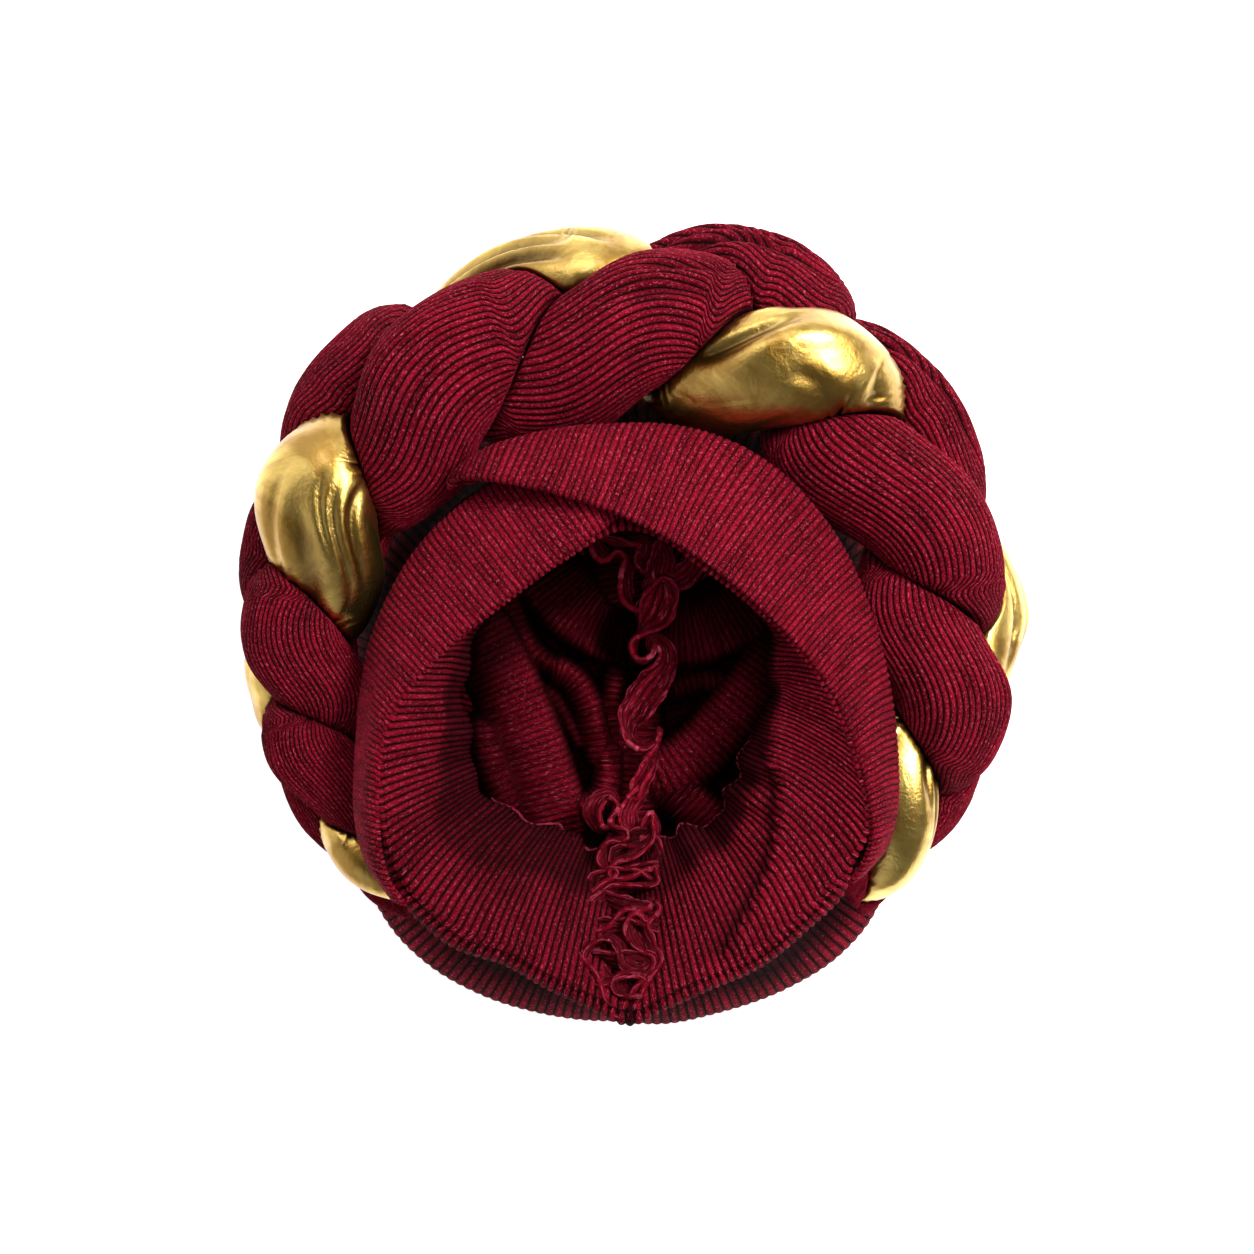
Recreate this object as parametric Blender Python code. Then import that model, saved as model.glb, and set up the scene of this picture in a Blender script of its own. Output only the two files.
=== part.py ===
"""Pull-on turban cap with a padded three-strand plait, lying on its crown, opening up.

Lengths in the tables are millimetres and angles are degrees. The origin is the middle
of the face that rests, +Z is up and +Y is the forehead side.
"""
import math

import bpy
import numpy as np

# Cloth and spacing
MM = 0.001
CLOTH = 2.4
FACING_CLOTH = 2.0
BAND_CLOTH = 3.0
RUFFLE_CLOTH = 1.8
GAP = 0.4
HULL_MARGIN = 2.3
STRAND_GAP = 1.0

# The plait: reach of a strand centre in width and in depth, and its roll radius
REACH_WIDE = 18.0
REACH_DEEP = 9.0
ROLL_RADIUS = 23.0
CELL_SOFTNESS = 7.0
HULL_WIDE = 43.5
HULL_DEEP = 34.0
HULL_POWER = 3.2
PUSH_POWER = 24.0
TAIL_FADE = 6.0

# Where the middle of the opening lies
HEAD_Y = -42.0

# Plait: azimuth, ring radius, height, size, tilt of its face, lobe number
PLAIT = (
    (232.0, 120.0, 54.0, 0.24, 10.0, -0.35),
    (224.0, 121.0, 53.5, 0.36, 10.0, 0.10),
    (212.0, 120.0, 52.0, 0.46, 12.0, 0.70),
    (203.0, 118.5, 51.0, 0.55, 15.0, 1.10),
    (186.0, 117.5, 50.0, 0.66, 20.0, 2.00),
    (163.0, 118.0, 52.0, 0.78, 25.0, 3.00),
    (135.0, 117.0, 53.0, 0.93, 32.0, 4.00),
    (96.0, 114.5, 54.0, 1.00, 38.0, 5.00),
    (64.0, 116.0, 53.0, 0.97, 35.0, 6.00),
    (44.0, 114.5, 52.5, 0.93, 33.0, 6.66),
    (28.0, 113.5, 52.0, 0.88, 30.0, 7.06),
    (-4.0, 113.5, 50.0, 0.80, 24.0, 8.00),
    (-31.0, 115.0, 50.0, 0.60, 15.0, 9.00),
    (-43.0, 119.0, 52.5, 0.42, 10.0, 9.50),
    (-50.0, 121.0, 54.0, 0.26, 10.0, 9.90),
)

# Fullness of the strands: azimuth, gold, first cloth strand, second cloth strand
FULLNESS = (
    (232.0, 1.00, 1.00, 1.00),
    (203.0, 0.92, 1.04, 1.00),
    (186.0, 0.88, 0.98, 1.06),
    (163.0, 0.98, 0.98, 1.02),
    (137.0, 0.84, 1.10, 1.04),
    (109.0, 0.82, 1.04, 1.04),
    (96.0, 0.90, 1.02, 1.06),
    (64.0, 1.02, 1.02, 0.96),
    (28.0, 0.84, 1.10, 0.98),
    (10.0, 0.84, 1.02, 1.04),
    (-4.0, 0.86, 0.96, 1.12),
    (-31.0, 1.04, 0.96, 0.98),
    (-50.0, 1.00, 1.00, 1.00),
)

# Cap sections: azimuth about the opening, floor radius, girth radius and height,
# neck radius and height, lip radius and height
CAP = (
    (270.0, 80.0, 97.0, 34.0, 85.5, 64.0, 86.8, 100.0),
    (287.0, 80.0, 98.5, 34.0, 84.0, 64.0, 81.3, 100.0),
    (304.0, 79.0, 102.5, 31.0, 83.0, 61.0, 79.6, 100.0),
    (316.0, 78.0, 106.0, 25.0, 80.5, 56.0, 79.9, 99.6),
    (327.0, 76.0, 107.0, 20.0, 78.0, 52.0, 82.6, 98.0),
    (336.0, 74.0, 104.0, 18.0, 78.0, 51.0, 86.0, 92.0),
    (346.0, 72.0, 98.0, 17.0, 79.5, 50.0, 88.0, 84.0),
    (0.0, 70.0, 95.0, 17.0, 83.0, 50.0, 89.0, 72.0),
    (30.0, 80.0, 111.0, 23.0, 97.0, 50.0, 96.0, 66.0),
    (60.0, 96.0, 128.0, 23.0, 113.0, 48.0, 112.5, 62.0),
    (90.0, 104.0, 135.0, 23.0, 122.0, 48.0, 121.5, 62.0),
    (120.0, 96.0, 128.0, 23.0, 113.0, 48.0, 112.5, 62.0),
    (150.0, 84.0, 113.0, 24.0, 98.0, 50.0, 96.0, 66.0),
    (180.0, 75.0, 100.0, 19.0, 89.5, 50.0, 90.0, 74.0),
    (195.0, 75.0, 102.0, 18.0, 84.5, 50.0, 89.5, 84.0),
    (206.0, 76.0, 107.0, 19.0, 80.5, 52.0, 89.8, 92.0),
    (217.0, 78.0, 108.0, 23.0, 80.0, 55.0, 88.4, 98.0),
    (226.0, 80.0, 106.0, 29.0, 82.5, 58.0, 86.4, 99.6),
    (238.0, 81.0, 102.0, 33.0, 84.5, 63.0, 84.8, 100.0),
    (253.0, 80.0, 98.0, 34.0, 84.5, 64.0, 85.0, 100.0),
)
CAP_STOPS = (0.0, 0.20, 0.40, 0.53, 0.67, 0.84, 1.0)
KNEE_OUT = 0.70
KNEE_UP = 0.30
FOLDS_END = 0.30
FOLDS_FADE = 0.13

# Folds of the sunken crown: start, bend and end of the crest, half width, height
FOLDS = (
    (-48.0, 0.0, -31.0, -37.0, -21.0, -55.0, 15.0, 26.0),
    (-21.0, -56.0, -13.0, -58.0, -11.0, -42.0, 10.0, 17.0),
    (-57.0, -11.0, -52.0, -44.0, -37.0, -72.0, 14.0, 20.0),
    (-43.0, 15.0, -37.0, -6.0, -26.0, -6.0, 10.0, 16.0),
    (-26.0, -6.0, -18.0, -16.0, -12.0, -35.0, 10.0, 16.0),
    (-27.0, 18.0, -16.0, 18.0, -12.0, 8.0, 17.0, 22.0),
    (39.0, 10.0, 28.0, 10.0, 18.0, 4.0, 15.0, 18.0),
    (52.0, 0.0, 35.0, -18.0, 15.0, -41.0, 13.0, 22.0),
    (56.0, -22.0, 43.0, -44.0, 28.0, -60.0, 13.0, 18.0),
    (12.0, -45.0, 24.0, -50.0, 32.0, -63.0, 11.0, 15.0),
    (-33.0, -60.0, -20.0, -71.0, -11.0, -76.0, 12.0, 13.0),
    (3.0, -30.0, 1.0, -62.0, 0.0, -96.0, 13.0, 20.0),
    (-6.0, 68.0, -5.0, 45.0, 0.0, 20.0, 14.0, 22.0),
)
FLAT_RADIUS = 16.0
FLAT_FADE = 27.0

# Hem facing: azimuth about the opening, top radius and height, free edge radius and height
FACING_BULGE = 0.10
FACING = (
    (269.0, 83.6, 97.0, 39.5, 56.0),
    (285.0, 79.0, 97.0, 33.5, 55.0),
    (298.0, 77.0, 97.0, 32.0, 54.0),
    (312.0, 76.6, 97.0, 36.5, 55.0),
    (327.0, 79.5, 96.0, 38.5, 56.0),
    (344.0, 79.5, 97.0, 43.0, 58.0),
    (1.0, 75.0, 97.0, 50.7, 60.0),
    (21.0, 69.0, 96.8, 57.5, 60.0),
    (37.0, 67.0, 95.5, 65.0, 62.0),
    (55.0, 67.0, 93.0, 72.0, 64.0),
    (72.0, 71.0, 91.0, 82.0, 66.0),
    (90.0, 81.0, 90.0, 92.0, 66.0),
    (108.0, 73.0, 90.0, 84.0, 66.0),
    (128.0, 68.5, 92.5, 76.0, 64.0),
    (148.0, 72.0, 95.2, 71.0, 62.0),
    (168.0, 79.5, 97.3, 61.5, 60.0),
    (190.0, 82.0, 97.4, 55.0, 60.0),
    (208.0, 84.0, 96.0, 52.0, 58.0),
    (224.0, 83.5, 97.0, 42.3, 56.0),
    (238.0, 81.8, 97.0, 36.5, 54.0),
    (253.0, 81.8, 97.0, 34.8, 54.0),
)

# Front bands: place along, inner edge x y z, outer edge x y z
BAND_RIGHT = (
    (0.00, -67.0, 55.5, 77.0, -61.0, 63.0, 70.0),
    (0.06, -58.5, 55.6, 89.0, -54.5, 70.0, 71.0),
    (0.13, -44.6, 54.3, 98.5, -45.0, 75.0, 72.0),
    (0.20, -24.0, 49.8, 101.0, -25.0, 82.0, 71.0),
    (0.27, -6.9, 44.0, 102.0, -8.0, 84.0, 71.0),
    (0.34, 10.3, 36.1, 102.0, 11.0, 84.5, 71.0),
    (0.41, 24.0, 27.5, 102.0, 31.0, 80.0, 71.0),
    (0.49, 41.2, 13.8, 102.0, 53.0, 69.0, 71.0),
    (0.58, 58.3, -3.3, 101.0, 72.0, 46.0, 72.0),
    (0.67, 70.3, -20.5, 100.5, 84.0, 18.0, 74.0),
    (0.75, 77.2, -37.7, 100.0, 90.0, -8.0, 76.0),
    (0.82, 81.2, -54.8, 100.0, 92.5, -34.0, 80.0),
    (0.88, 82.4, -68.0, 99.8, 92.5, -56.0, 86.0),
    (0.94, 79.7, -77.0, 99.6, 88.5, -71.0, 91.0),
    (1.00, 74.8, -83.5, 99.4, 81.5, -81.0, 95.0),
)
BAND_LEFT = (
    (0.00, 12.0, 44.0, 92.0, 14.0, 64.0, 82.0),
    (0.08, -1.7, 43.1, 94.0, 0.0, 67.0, 79.0),
    (0.15, -10.3, 37.2, 95.5, -18.0, 66.0, 78.0),
    (0.25, -31.0, 22.4, 97.0, -42.0, 60.0, 74.0),
    (0.36, -51.6, 7.0, 98.5, -64.0, 48.0, 72.0),
    (0.47, -68.9, -8.5, 99.5, -80.0, 29.0, 72.0),
    (0.57, -80.9, -22.3, 100.0, -89.0, 8.0, 74.0),
    (0.67, -84.8, -37.8, 100.0, -93.0, -15.0, 80.0),
    (0.77, -86.4, -55.0, 100.0, -95.0, -39.0, 82.0),
    (0.86, -85.4, -72.2, 100.0, -95.0, -60.0, 87.0),
    (0.94, -82.0, -84.0, 99.6, -90.5, -77.0, 92.0),
    (1.00, -75.7, -91.9, 99.2, -82.5, -90.8, 95.5),
)
BAND_BULGE = 3.5
BAND_ROLL = 1.6
ROLL_SHARE = 0.22
BAND_WIDE = 34.0

# Seam ruffle: place along, x, y, height of its foot, its own height
SEAM = (
    (0.00, -5.0, 50.0, 29.0, 6.0),
    (0.05, -6.0, 40.0, 29.0, 8.0),
    (0.12, -2.0, 28.0, 23.0, 9.0),
    (0.20, 5.0, 14.0, 12.0, 9.0),
    (0.29, 6.0, -4.0, 6.0, 9.0),
    (0.38, 4.0, -22.0, 9.0, 9.0),
    (0.49, 4.0, -44.0, 22.0, 9.0),
    (0.56, 0.0, -58.0, 32.0, 9.0),
    (0.64, -1.0, -70.0, 50.0, 9.0),
    (0.71, 0.0, -79.0, 65.0, 9.0),
    (0.77, 2.0, -93.0, 74.7, 8.0),
    (0.86, -2.0, -106.0, 86.0, 7.0),
    (0.94, 0.0, -118.0, 95.4, 5.0),
    (1.00, 0.0, -126.0, 98.3, 4.0),
)
RUFFLE_WAVES = 10
RUFFLE_SWING = 4.6
FOOT_SWING = 0.75
FOOT_GAP = 0.7
FOOT_NEAR = (-8.0, -4.0, 0.0, 4.0, 8.0)

# Mesh sizes
PLAIT_SECTIONS = 86
PLAIT_POINTS = 12
CAP_AROUND = 48
CAP_RINGS = (0.055, 0.11, 0.165, 0.22, 0.275, 0.33, 0.385, 0.44, 0.50, 0.56, 0.62,
             0.68, 0.74, 0.80, 0.86, 0.93, 1.0)
FACING_AROUND = 48
FACING_RINGS = (0.0, 0.25, 0.6, 1.0)
BAND_ALONG = 22
BAND_ACROSS = (0.0, ROLL_SHARE, 0.5, 0.78, 1.0)
RUFFLE_STEPS = 84
FIT_LAPS = 6
FIT_STEP = 0.7

# Materials: colour, roughness, metallic
CLOTH_RED = ((0.235, 0.010, 0.034, 1.0), 0.82, 0.0)
INNER_RED = ((0.190, 0.008, 0.027, 1.0), 0.85, 0.0)
LEATHER_GOLD = ((0.640, 0.400, 0.100, 1.0), 0.30, 1.0)


def through(rows, at, period=None):
    """Smooth curve through table rows, whose first column is the place along it; a period
    joins its end to its start."""
    rows = np.array(sorted(rows, key=lambda row: row[0]), float)
    at = np.asarray(at, float)
    if period:
        turn = np.zeros(rows.shape[1])
        turn[0] = period
        first = rows[0, 0]
        rows = np.vstack([rows[-2:] - turn, rows, rows[:2] + turn])
        at = (at - first) % period + first
    place, value = rows[:, 0], rows[:, 1:]
    step = np.diff(place)[:, None]
    slope = np.diff(value, axis=0) / step
    middle = (slope[:-1] * step[1:] + slope[1:] * step[:-1]) / (step[1:] + step[:-1])
    slope = np.vstack([slope[:1], middle, slope[-1:]])
    i = np.clip(np.searchsorted(place, at, side="right") - 1, 0, len(place) - 2)
    h = step[i]
    x = (at - place[i])[..., None] / h
    return ((2 * x ** 3 - 3 * x ** 2 + 1) * value[i] + (x ** 3 - 2 * x ** 2 + x) * h * slope[i]
            + (3 * x ** 2 - 2 * x ** 3) * value[i + 1] + (x ** 3 - x ** 2) * h * slope[i + 1])


def ease(x):
    """Smooth rise from 0 to 1 while x goes from 0 to 1."""
    x = np.clip(x, 0.0, 1.0)
    return x * x * (3.0 - 2.0 * x)


def strand_centre(lobe, strand, size):
    """Centre of a strand in the plait's section: a figure of eight, a third of a turn
    on from the strand before it."""
    turn = math.pi / 2 + (lobe - strand) * 2 * math.pi / 3
    return np.stack([REACH_WIDE * size * np.sin(turn), -REACH_DEEP * size * np.sin(2 * turn)], -1)


def strand_reach(azimuth, strand, around):
    """Distance from the strand's centre to its surface: a slanted round, flattened where
    its neighbours press it, so that no two strands share a place."""
    ring, high, size, tilt, lobe = np.moveaxis(through(PLAIT, azimuth), -1, 0)
    radius = ROLL_RADIUS * size[:, None] * through(FULLNESS, azimuth)
    centre = [strand_centre(lobe, other, size) for other in range(3)]
    step = 0.5
    ahead = through(PLAIT, azimuth - step)
    travel = strand_centre(ahead[:, 4], strand, ahead[:, 2]) - centre[strand]
    travel = travel / (ring * math.radians(step))[:, None]
    lean = np.linalg.norm(travel, axis=-1)[:, None]
    along = travel / lean
    ray = np.stack([np.cos(around), np.sin(around)], -1)
    ahead_part = (ray * along[:, None]).sum(-1) ** 2
    free = ahead_part / (1 + lean ** 2) + 1 - ahead_part
    reach = (radius[:, strand][:, None] / np.sqrt(free)) ** -CELL_SOFTNESS
    for other in range(3):
        if other == strand:
            continue
        apart = centre[other] - centre[strand]
        distance = np.linalg.norm(apart, axis=-1)
        toward = (ray * (apart / distance[:, None])[:, None]).sum(-1)
        share = (distance ** 2 + radius[:, strand] ** 2 - radius[:, other] ** 2) / (2 * distance)
        wall = np.maximum(share - STRAND_GAP / 2, 1.0)[:, None] / np.maximum(toward, 1e-6)
        reach = reach + np.where(toward > 1e-6, wall ** -CELL_SOFTNESS, 0.0)
    return reach ** (-1 / CELL_SOFTNESS)


def strand_spots(azimuth, strand, around, reach):
    """Places in the plait's section, in width and depth, of a strand's surface points."""
    size, lobe = through(PLAIT, azimuth)[:, [2, 4]].T
    ray = np.stack([np.cos(around), np.sin(around)], -1)
    return strand_centre(lobe, strand, size)[:, None, :] + reach[..., None] * ray


def strand_surface(azimuth, strand, around):
    """Sections of one strand, drawn in where the straight lines between two sections
    would leave the strand's smooth surface."""
    around = np.repeat(around[None], len(azimuth), 0)
    reach = strand_reach(azimuth, strand, around)
    for lap in range(FIT_LAPS):
        spots = strand_spots(azimuth, strand, around, reach)
        worst = np.ones_like(reach)
        for part in (0.25, 0.5, 0.75):
            between = azimuth[:-1] + (azimuth[1:] - azimuth[:-1]) * part
            size, lobe = through(PLAIT, between)[:, [2, 4]].T
            centre = strand_centre(lobe, strand, size)[:, None, :]
            for skip in (0, 1, -1):
                line = spots[:-1] * (1 - part) + np.roll(spots[1:], skip, 1) * part - centre
                far = np.linalg.norm(line, axis=-1)
                limit = strand_reach(between, strand, np.arctan2(line[..., 1], line[..., 0]))
                over = np.maximum(far / limit, 1.0)
                worst[:-1] = np.maximum(worst[:-1], over)
                worst[1:] = np.maximum(worst[1:], np.roll(over, -skip, 1))
        reach /= worst ** FIT_STEP
    spots = strand_spots(azimuth, strand, around, reach)
    ring, high, size, tilt, lobe = np.moveaxis(through(PLAIT, azimuth), -1, 0)
    tilt = np.radians(tilt)[:, None]
    turn = np.radians(azimuth)[:, None]
    out = ring[:, None] - spots[..., 0] * np.sin(tilt) + spots[..., 1] * np.cos(tilt)
    up = high[:, None] + spots[..., 0] * np.cos(tilt) + spots[..., 1] * np.sin(tilt)
    return np.stack([out * np.cos(turn), out * np.sin(turn), up], -1)


def clear_of_plait(points, margin):
    """Moves points that lie in the plait's hull outward from its middle line to the hull."""
    azimuth = (np.degrees(np.arctan2(points[..., 1], points[..., 0])) + 90) % 360 - 90
    first, last = PLAIT[-1][0], PLAIT[0][0]
    past = np.maximum(np.maximum(azimuth - last, first - azimuth), 0.0)
    ring, high, size, tilt, lobe = np.moveaxis(through(PLAIT, np.clip(azimuth, first, last)), -1, 0)
    size = size * (1.0 - ease(past / TAIL_FADE))
    tilt = np.radians(tilt)
    out = np.hypot(points[..., 0], points[..., 1])
    off, rise = out - ring, points[..., 2] - high
    wide = rise * np.cos(tilt) - off * np.sin(tilt)
    deep = off * np.cos(tilt) + rise * np.sin(tilt)
    hull = ((np.abs(wide) / (HULL_WIDE * size + margin)) ** HULL_POWER
            + (np.abs(deep) / (HULL_DEEP * size + margin)) ** HULL_POWER) ** (1 / HULL_POWER)
    push = (1.0 + np.maximum(hull, 0.05) ** -PUSH_POWER) ** (1 / PUSH_POWER)
    wide, deep = wide * push, deep * push
    new_out = ring - wide * np.sin(tilt) + deep * np.cos(tilt)
    new_up = high + wide * np.cos(tilt) + deep * np.sin(tilt)
    scale = new_out / np.maximum(out, 1e-6)
    return np.stack([points[..., 0] * scale, points[..., 1] * scale, new_up], -1)


def fold_height(x, y):
    """Height of the crown's folds: bell sections along bent crests, the highest one wins."""
    total = np.zeros(np.shape(x))
    stops = np.linspace(0.0, 1.0, 25)
    for x0, y0, x1, y1, x2, y2, half, high in FOLDS:
        crest_x = (1 - stops) ** 2 * x0 + 2 * stops * (1 - stops) * x1 + stops ** 2 * x2
        crest_y = (1 - stops) ** 2 * y0 + 2 * stops * (1 - stops) * y1 + stops ** 2 * y2
        gap = np.hypot(x[..., None] - crest_x, y[..., None] - crest_y)
        near = gap.min(-1)
        bell = np.cos(np.clip(near / half, 0, 1) * math.pi / 2) ** 2
        total = total + (high * bell) ** 4
    flat = ease((np.hypot(x, y) - FLAT_RADIUS) / (FLAT_FADE - FLAT_RADIUS))
    return total ** 0.25 * flat


def cap_surface(azimuth, stops, folds=1.0):
    """Middle surface of the cap cloth, from the crown out and up to its lip."""
    floor, girth, girth_z, neck, neck_z, lip, lip_z = np.moveaxis(through(CAP, azimuth, 360), -1, 0)
    zero = np.zeros_like(floor)
    knee = floor + KNEE_OUT * (girth - floor)
    radii = np.stack([zero, 0.5 * floor, floor, knee, girth, neck, lip])
    heights = np.stack([zero, zero, zero, KNEE_UP * girth_z, girth_z, neck_z, lip_z])
    rows = np.column_stack([CAP_STOPS, radii, heights])
    curve = through(rows, stops)
    count = len(azimuth)
    out, up = curve[:, :count].T, np.maximum(curve[:, count:].T, 0.0)
    turn = np.radians(azimuth)[:, None]
    x, y = out * np.cos(turn), out * np.sin(turn) + HEAD_Y
    fade = 1.0 - ease((np.asarray(stops)[None] - FOLDS_END) / FOLDS_FADE)
    up = up + fold_height(x, y) * fade * folds + CLOTH / 2
    return clear_of_plait(np.stack([x, y, up], -1), CLOTH / 2 + HULL_MARGIN)


def facing_surface(azimuth, stops):
    """Middle surface of the hem facing, from under the lip in and down to its free edge."""
    top, top_z, free, free_z = np.moveaxis(through(FACING, azimuth, 360), -1, 0)
    stops = np.asarray(stops)[None]
    out = top[:, None] + (free - top)[:, None] * stops
    up = top_z[:, None] + (free_z - top_z)[:, None] * stops
    span = (top - free)[:, None]
    up = up + FACING_BULGE * span * np.sin(math.pi * stops)
    turn = np.radians(azimuth)[:, None]
    return np.stack([out * np.cos(turn), out * np.sin(turn) + HEAD_Y, up], -1)


def band_surface(table, along, across, margin):
    """Middle surface of a front band between its inner and outer edge, bulging upward."""
    edges = through(table, along)
    across = np.asarray(across)[None, :, None]
    inner, outer = edges[:, None, :3], edges[:, None, 3:]
    points = inner + (outer - inner) * across
    share = np.clip(np.linalg.norm(outer - inner, axis=-1) / BAND_WIDE, 0.0, 1.0)
    roll = BAND_ROLL * (1 - ease(across[..., 0] / ROLL_SHARE))
    points[..., 2] += share * (BAND_BULGE * np.sin(math.pi * across[..., 0]) - roll)
    return clear_of_plait(points, margin)


def ruffle_surface(along, across):
    """Middle surface of the seam ruffle: an upright strip that swings from side to side."""
    x, y, foot, tall = np.moveaxis(through(SEAM, along), -1, 0)
    beside, ahead = [part.ravel()[None] for part in np.meshgrid(FOOT_NEAR, FOOT_NEAR)]
    floor = fold_height(x[:, None] + beside, y[:, None] + ahead).max(1)
    foot = np.maximum(foot, floor + CLOTH + FOOT_GAP)
    swing = RUFFLE_SWING * np.sin(2 * math.pi * RUFFLE_WAVES * along)
    across = np.asarray(across)[None]
    wide = x[:, None] + swing[:, None] * (FOOT_SWING + (1 - FOOT_SWING) * across)
    up = foot[:, None] + RUFFLE_CLOTH / 2 + tall[:, None] * across
    return np.stack([wide, np.repeat(y[:, None], across.shape[1], 1), up], -1)


def grid_faces(rows, columns, round_rows):
    """Corner numbers of the quads of a grid, closed along its rows where asked."""
    i = np.arange(rows if round_rows else rows - 1)
    i, j = np.meshgrid(i, np.arange(columns - 1), indexing="ij")
    i, j = i.ravel(), j.ravel()
    n = (i + 1) % rows
    return np.stack([i * columns + j, n * columns + j, n * columns + j + 1, i * columns + j + 1], -1)


def grid_normals(grid, round_rows):
    """Unit normals of a grid of points."""
    if round_rows:
        du = np.roll(grid, -1, 0) - np.roll(grid, 1, 0)
    else:
        du = np.gradient(grid, axis=0)
    dv = np.gradient(grid, axis=1)
    normal = np.cross(du, dv)
    return normal / np.maximum(np.linalg.norm(normal, axis=-1, keepdims=True), 1e-9)


def make_object(name, points, faces, look):
    """One named object with its own material, its faces turned outward."""
    points = np.asarray(points) * MM
    volume = 0.0
    for face in faces:
        for a, b in zip(face[1:-1], face[2:]):
            volume += np.dot(points[face[0]], np.cross(points[a], points[b]))
    if volume < 0:
        faces = [face[::-1] for face in faces]
    mesh = bpy.data.meshes.new(name)
    mesh.from_pydata(points.tolist(), [], faces)
    mesh.update()
    colour, rough, metal = look
    material = bpy.data.materials.new(name + "_material")
    material.use_nodes = True
    shader = material.node_tree.nodes["Principled BSDF"]
    shader.inputs["Base Color"].default_value = colour
    shader.inputs["Roughness"].default_value = rough
    shader.inputs["Metallic"].default_value = metal
    mesh.materials.append(material)
    mesh.shade_smooth()
    thing = bpy.data.objects.new(name, mesh)
    bpy.context.scene.collection.objects.link(thing)
    return thing


def thick_grid(name, grid, thick, look, round_rows=False, pole=None, normals=None):
    """Closed body of cloth on both sides of a grid of points; a pole closes its first column."""
    rows, columns = grid.shape[:2]
    if normals is None:
        normals = grid_normals(grid, round_rows)
    half = normals * thick / 2
    front, back = (grid + half).reshape(-1, 3), (grid - half).reshape(-1, 3)
    count = rows * columns
    quads = grid_faces(rows, columns, round_rows)
    halves = np.vstack([quads[:, [0, 1, 2]], quads[:, [0, 2, 3]]])
    faces = halves.tolist() + (halves[:, ::-1] + count).tolist()
    points = [front, back]
    edge = range(rows if round_rows else rows - 1)
    for i in edge:
        a, b = i * columns + columns - 1, ((i + 1) % rows) * columns + columns - 1
        faces.append([a, b, b + count, a + count])
        c, d = i * columns, ((i + 1) % rows) * columns
        if pole is None:
            faces.append([d, c, c + count, d + count])
        else:
            faces.append([d, c, 2 * count])
            faces.append([c + count, d + count, 2 * count + 1])
    if pole is not None:
        side = 1.0 if half[0, 0, 2] > 0 else -1.0
        lift = np.array([0.0, 0.0, side * thick / 2])
        points += [np.array([pole]) + lift, np.array([pole]) - lift]
    if not round_rows:
        for i, turn in ((0, 1), (rows - 1, -1)):
            for j in range(columns - 1):
                a = i * columns + j
                faces.append([a, a + 1, a + 1 + count, a + count][::turn])
    return make_object(name, np.vstack(points), faces, look)


def make_strand(name, strand, look):
    """One strand of the plait, closed at both ends."""
    azimuth = np.linspace(PLAIT[0][0], PLAIT[-1][0], PLAIT_SECTIONS)
    around = np.linspace(0, 2 * math.pi, PLAIT_POINTS, endpoint=False)
    grid = strand_surface(azimuth, strand, around)
    rows, columns = grid.shape[:2]
    quads = grid_faces(columns, rows, True)
    points = grid.transpose(1, 0, 2).reshape(-1, 3)
    ends = np.stack([grid[0].mean(0), grid[-1].mean(0)])
    faces = quads.tolist()
    for i in range(columns):
        n = (i + 1) % columns
        faces.append([n * rows, i * rows, len(points)])
        faces.append([i * rows + rows - 1, n * rows + rows - 1, len(points) + 1])
    return make_object(name, np.vstack([points, ends]), faces, look)


def main():
    for thing in list(bpy.data.objects):
        bpy.data.objects.remove(thing)
    turn = np.linspace(0, 360, CAP_AROUND, endpoint=False)
    cap = cap_surface(turn, CAP_RINGS)
    middle = fold_height(np.array([0.0]), np.array([HEAD_Y]))[0] + CLOTH / 2
    normals = grid_normals(cap_surface(turn, CAP_RINGS, 0.0), True)
    thick_grid("cap_shell", cap, CLOTH, CLOTH_RED, True, (0.0, HEAD_Y, middle), normals)
    turn = np.linspace(0, 360, FACING_AROUND, endpoint=False)
    thick_grid("hem_facing", facing_surface(turn, FACING_RINGS), FACING_CLOTH, INNER_RED, True)
    along = np.linspace(0, 1, BAND_ALONG)
    upper = BAND_CLOTH / 2 + GAP
    lower = upper + BAND_CLOTH + GAP
    right = band_surface(BAND_RIGHT, along, BAND_ACROSS, upper)
    left = band_surface(BAND_LEFT, along, BAND_ACROSS, lower)
    thick_grid("front_band_right", right, BAND_CLOTH, CLOTH_RED)
    thick_grid("front_band_left", left, BAND_CLOTH, CLOTH_RED)
    along = np.linspace(0, 1, RUFFLE_STEPS)
    thick_grid("seam_ruffle", ruffle_surface(along, (0.0, 1.0)), RUFFLE_CLOTH, INNER_RED)
    make_strand("braid_strand_gold", 0, LEATHER_GOLD)
    make_strand("braid_strand_left", 1, CLOTH_RED)
    make_strand("braid_strand_right", 2, CLOTH_RED)


main()
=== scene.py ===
"""Looks of a wine-red rib-knit turban cap with a padded plait in wine red and gold.

The cap lies on its crown, opening up. Lengths are millimetres and angles degrees unless a
name says otherwise; the frame's own objects are in metres. A place on the cloth is counted
in ribs across them and in millimetres along them. A value whose name ends in SPAN holds the
start of a smooth rise and how far it goes on.
"""
import math

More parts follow.
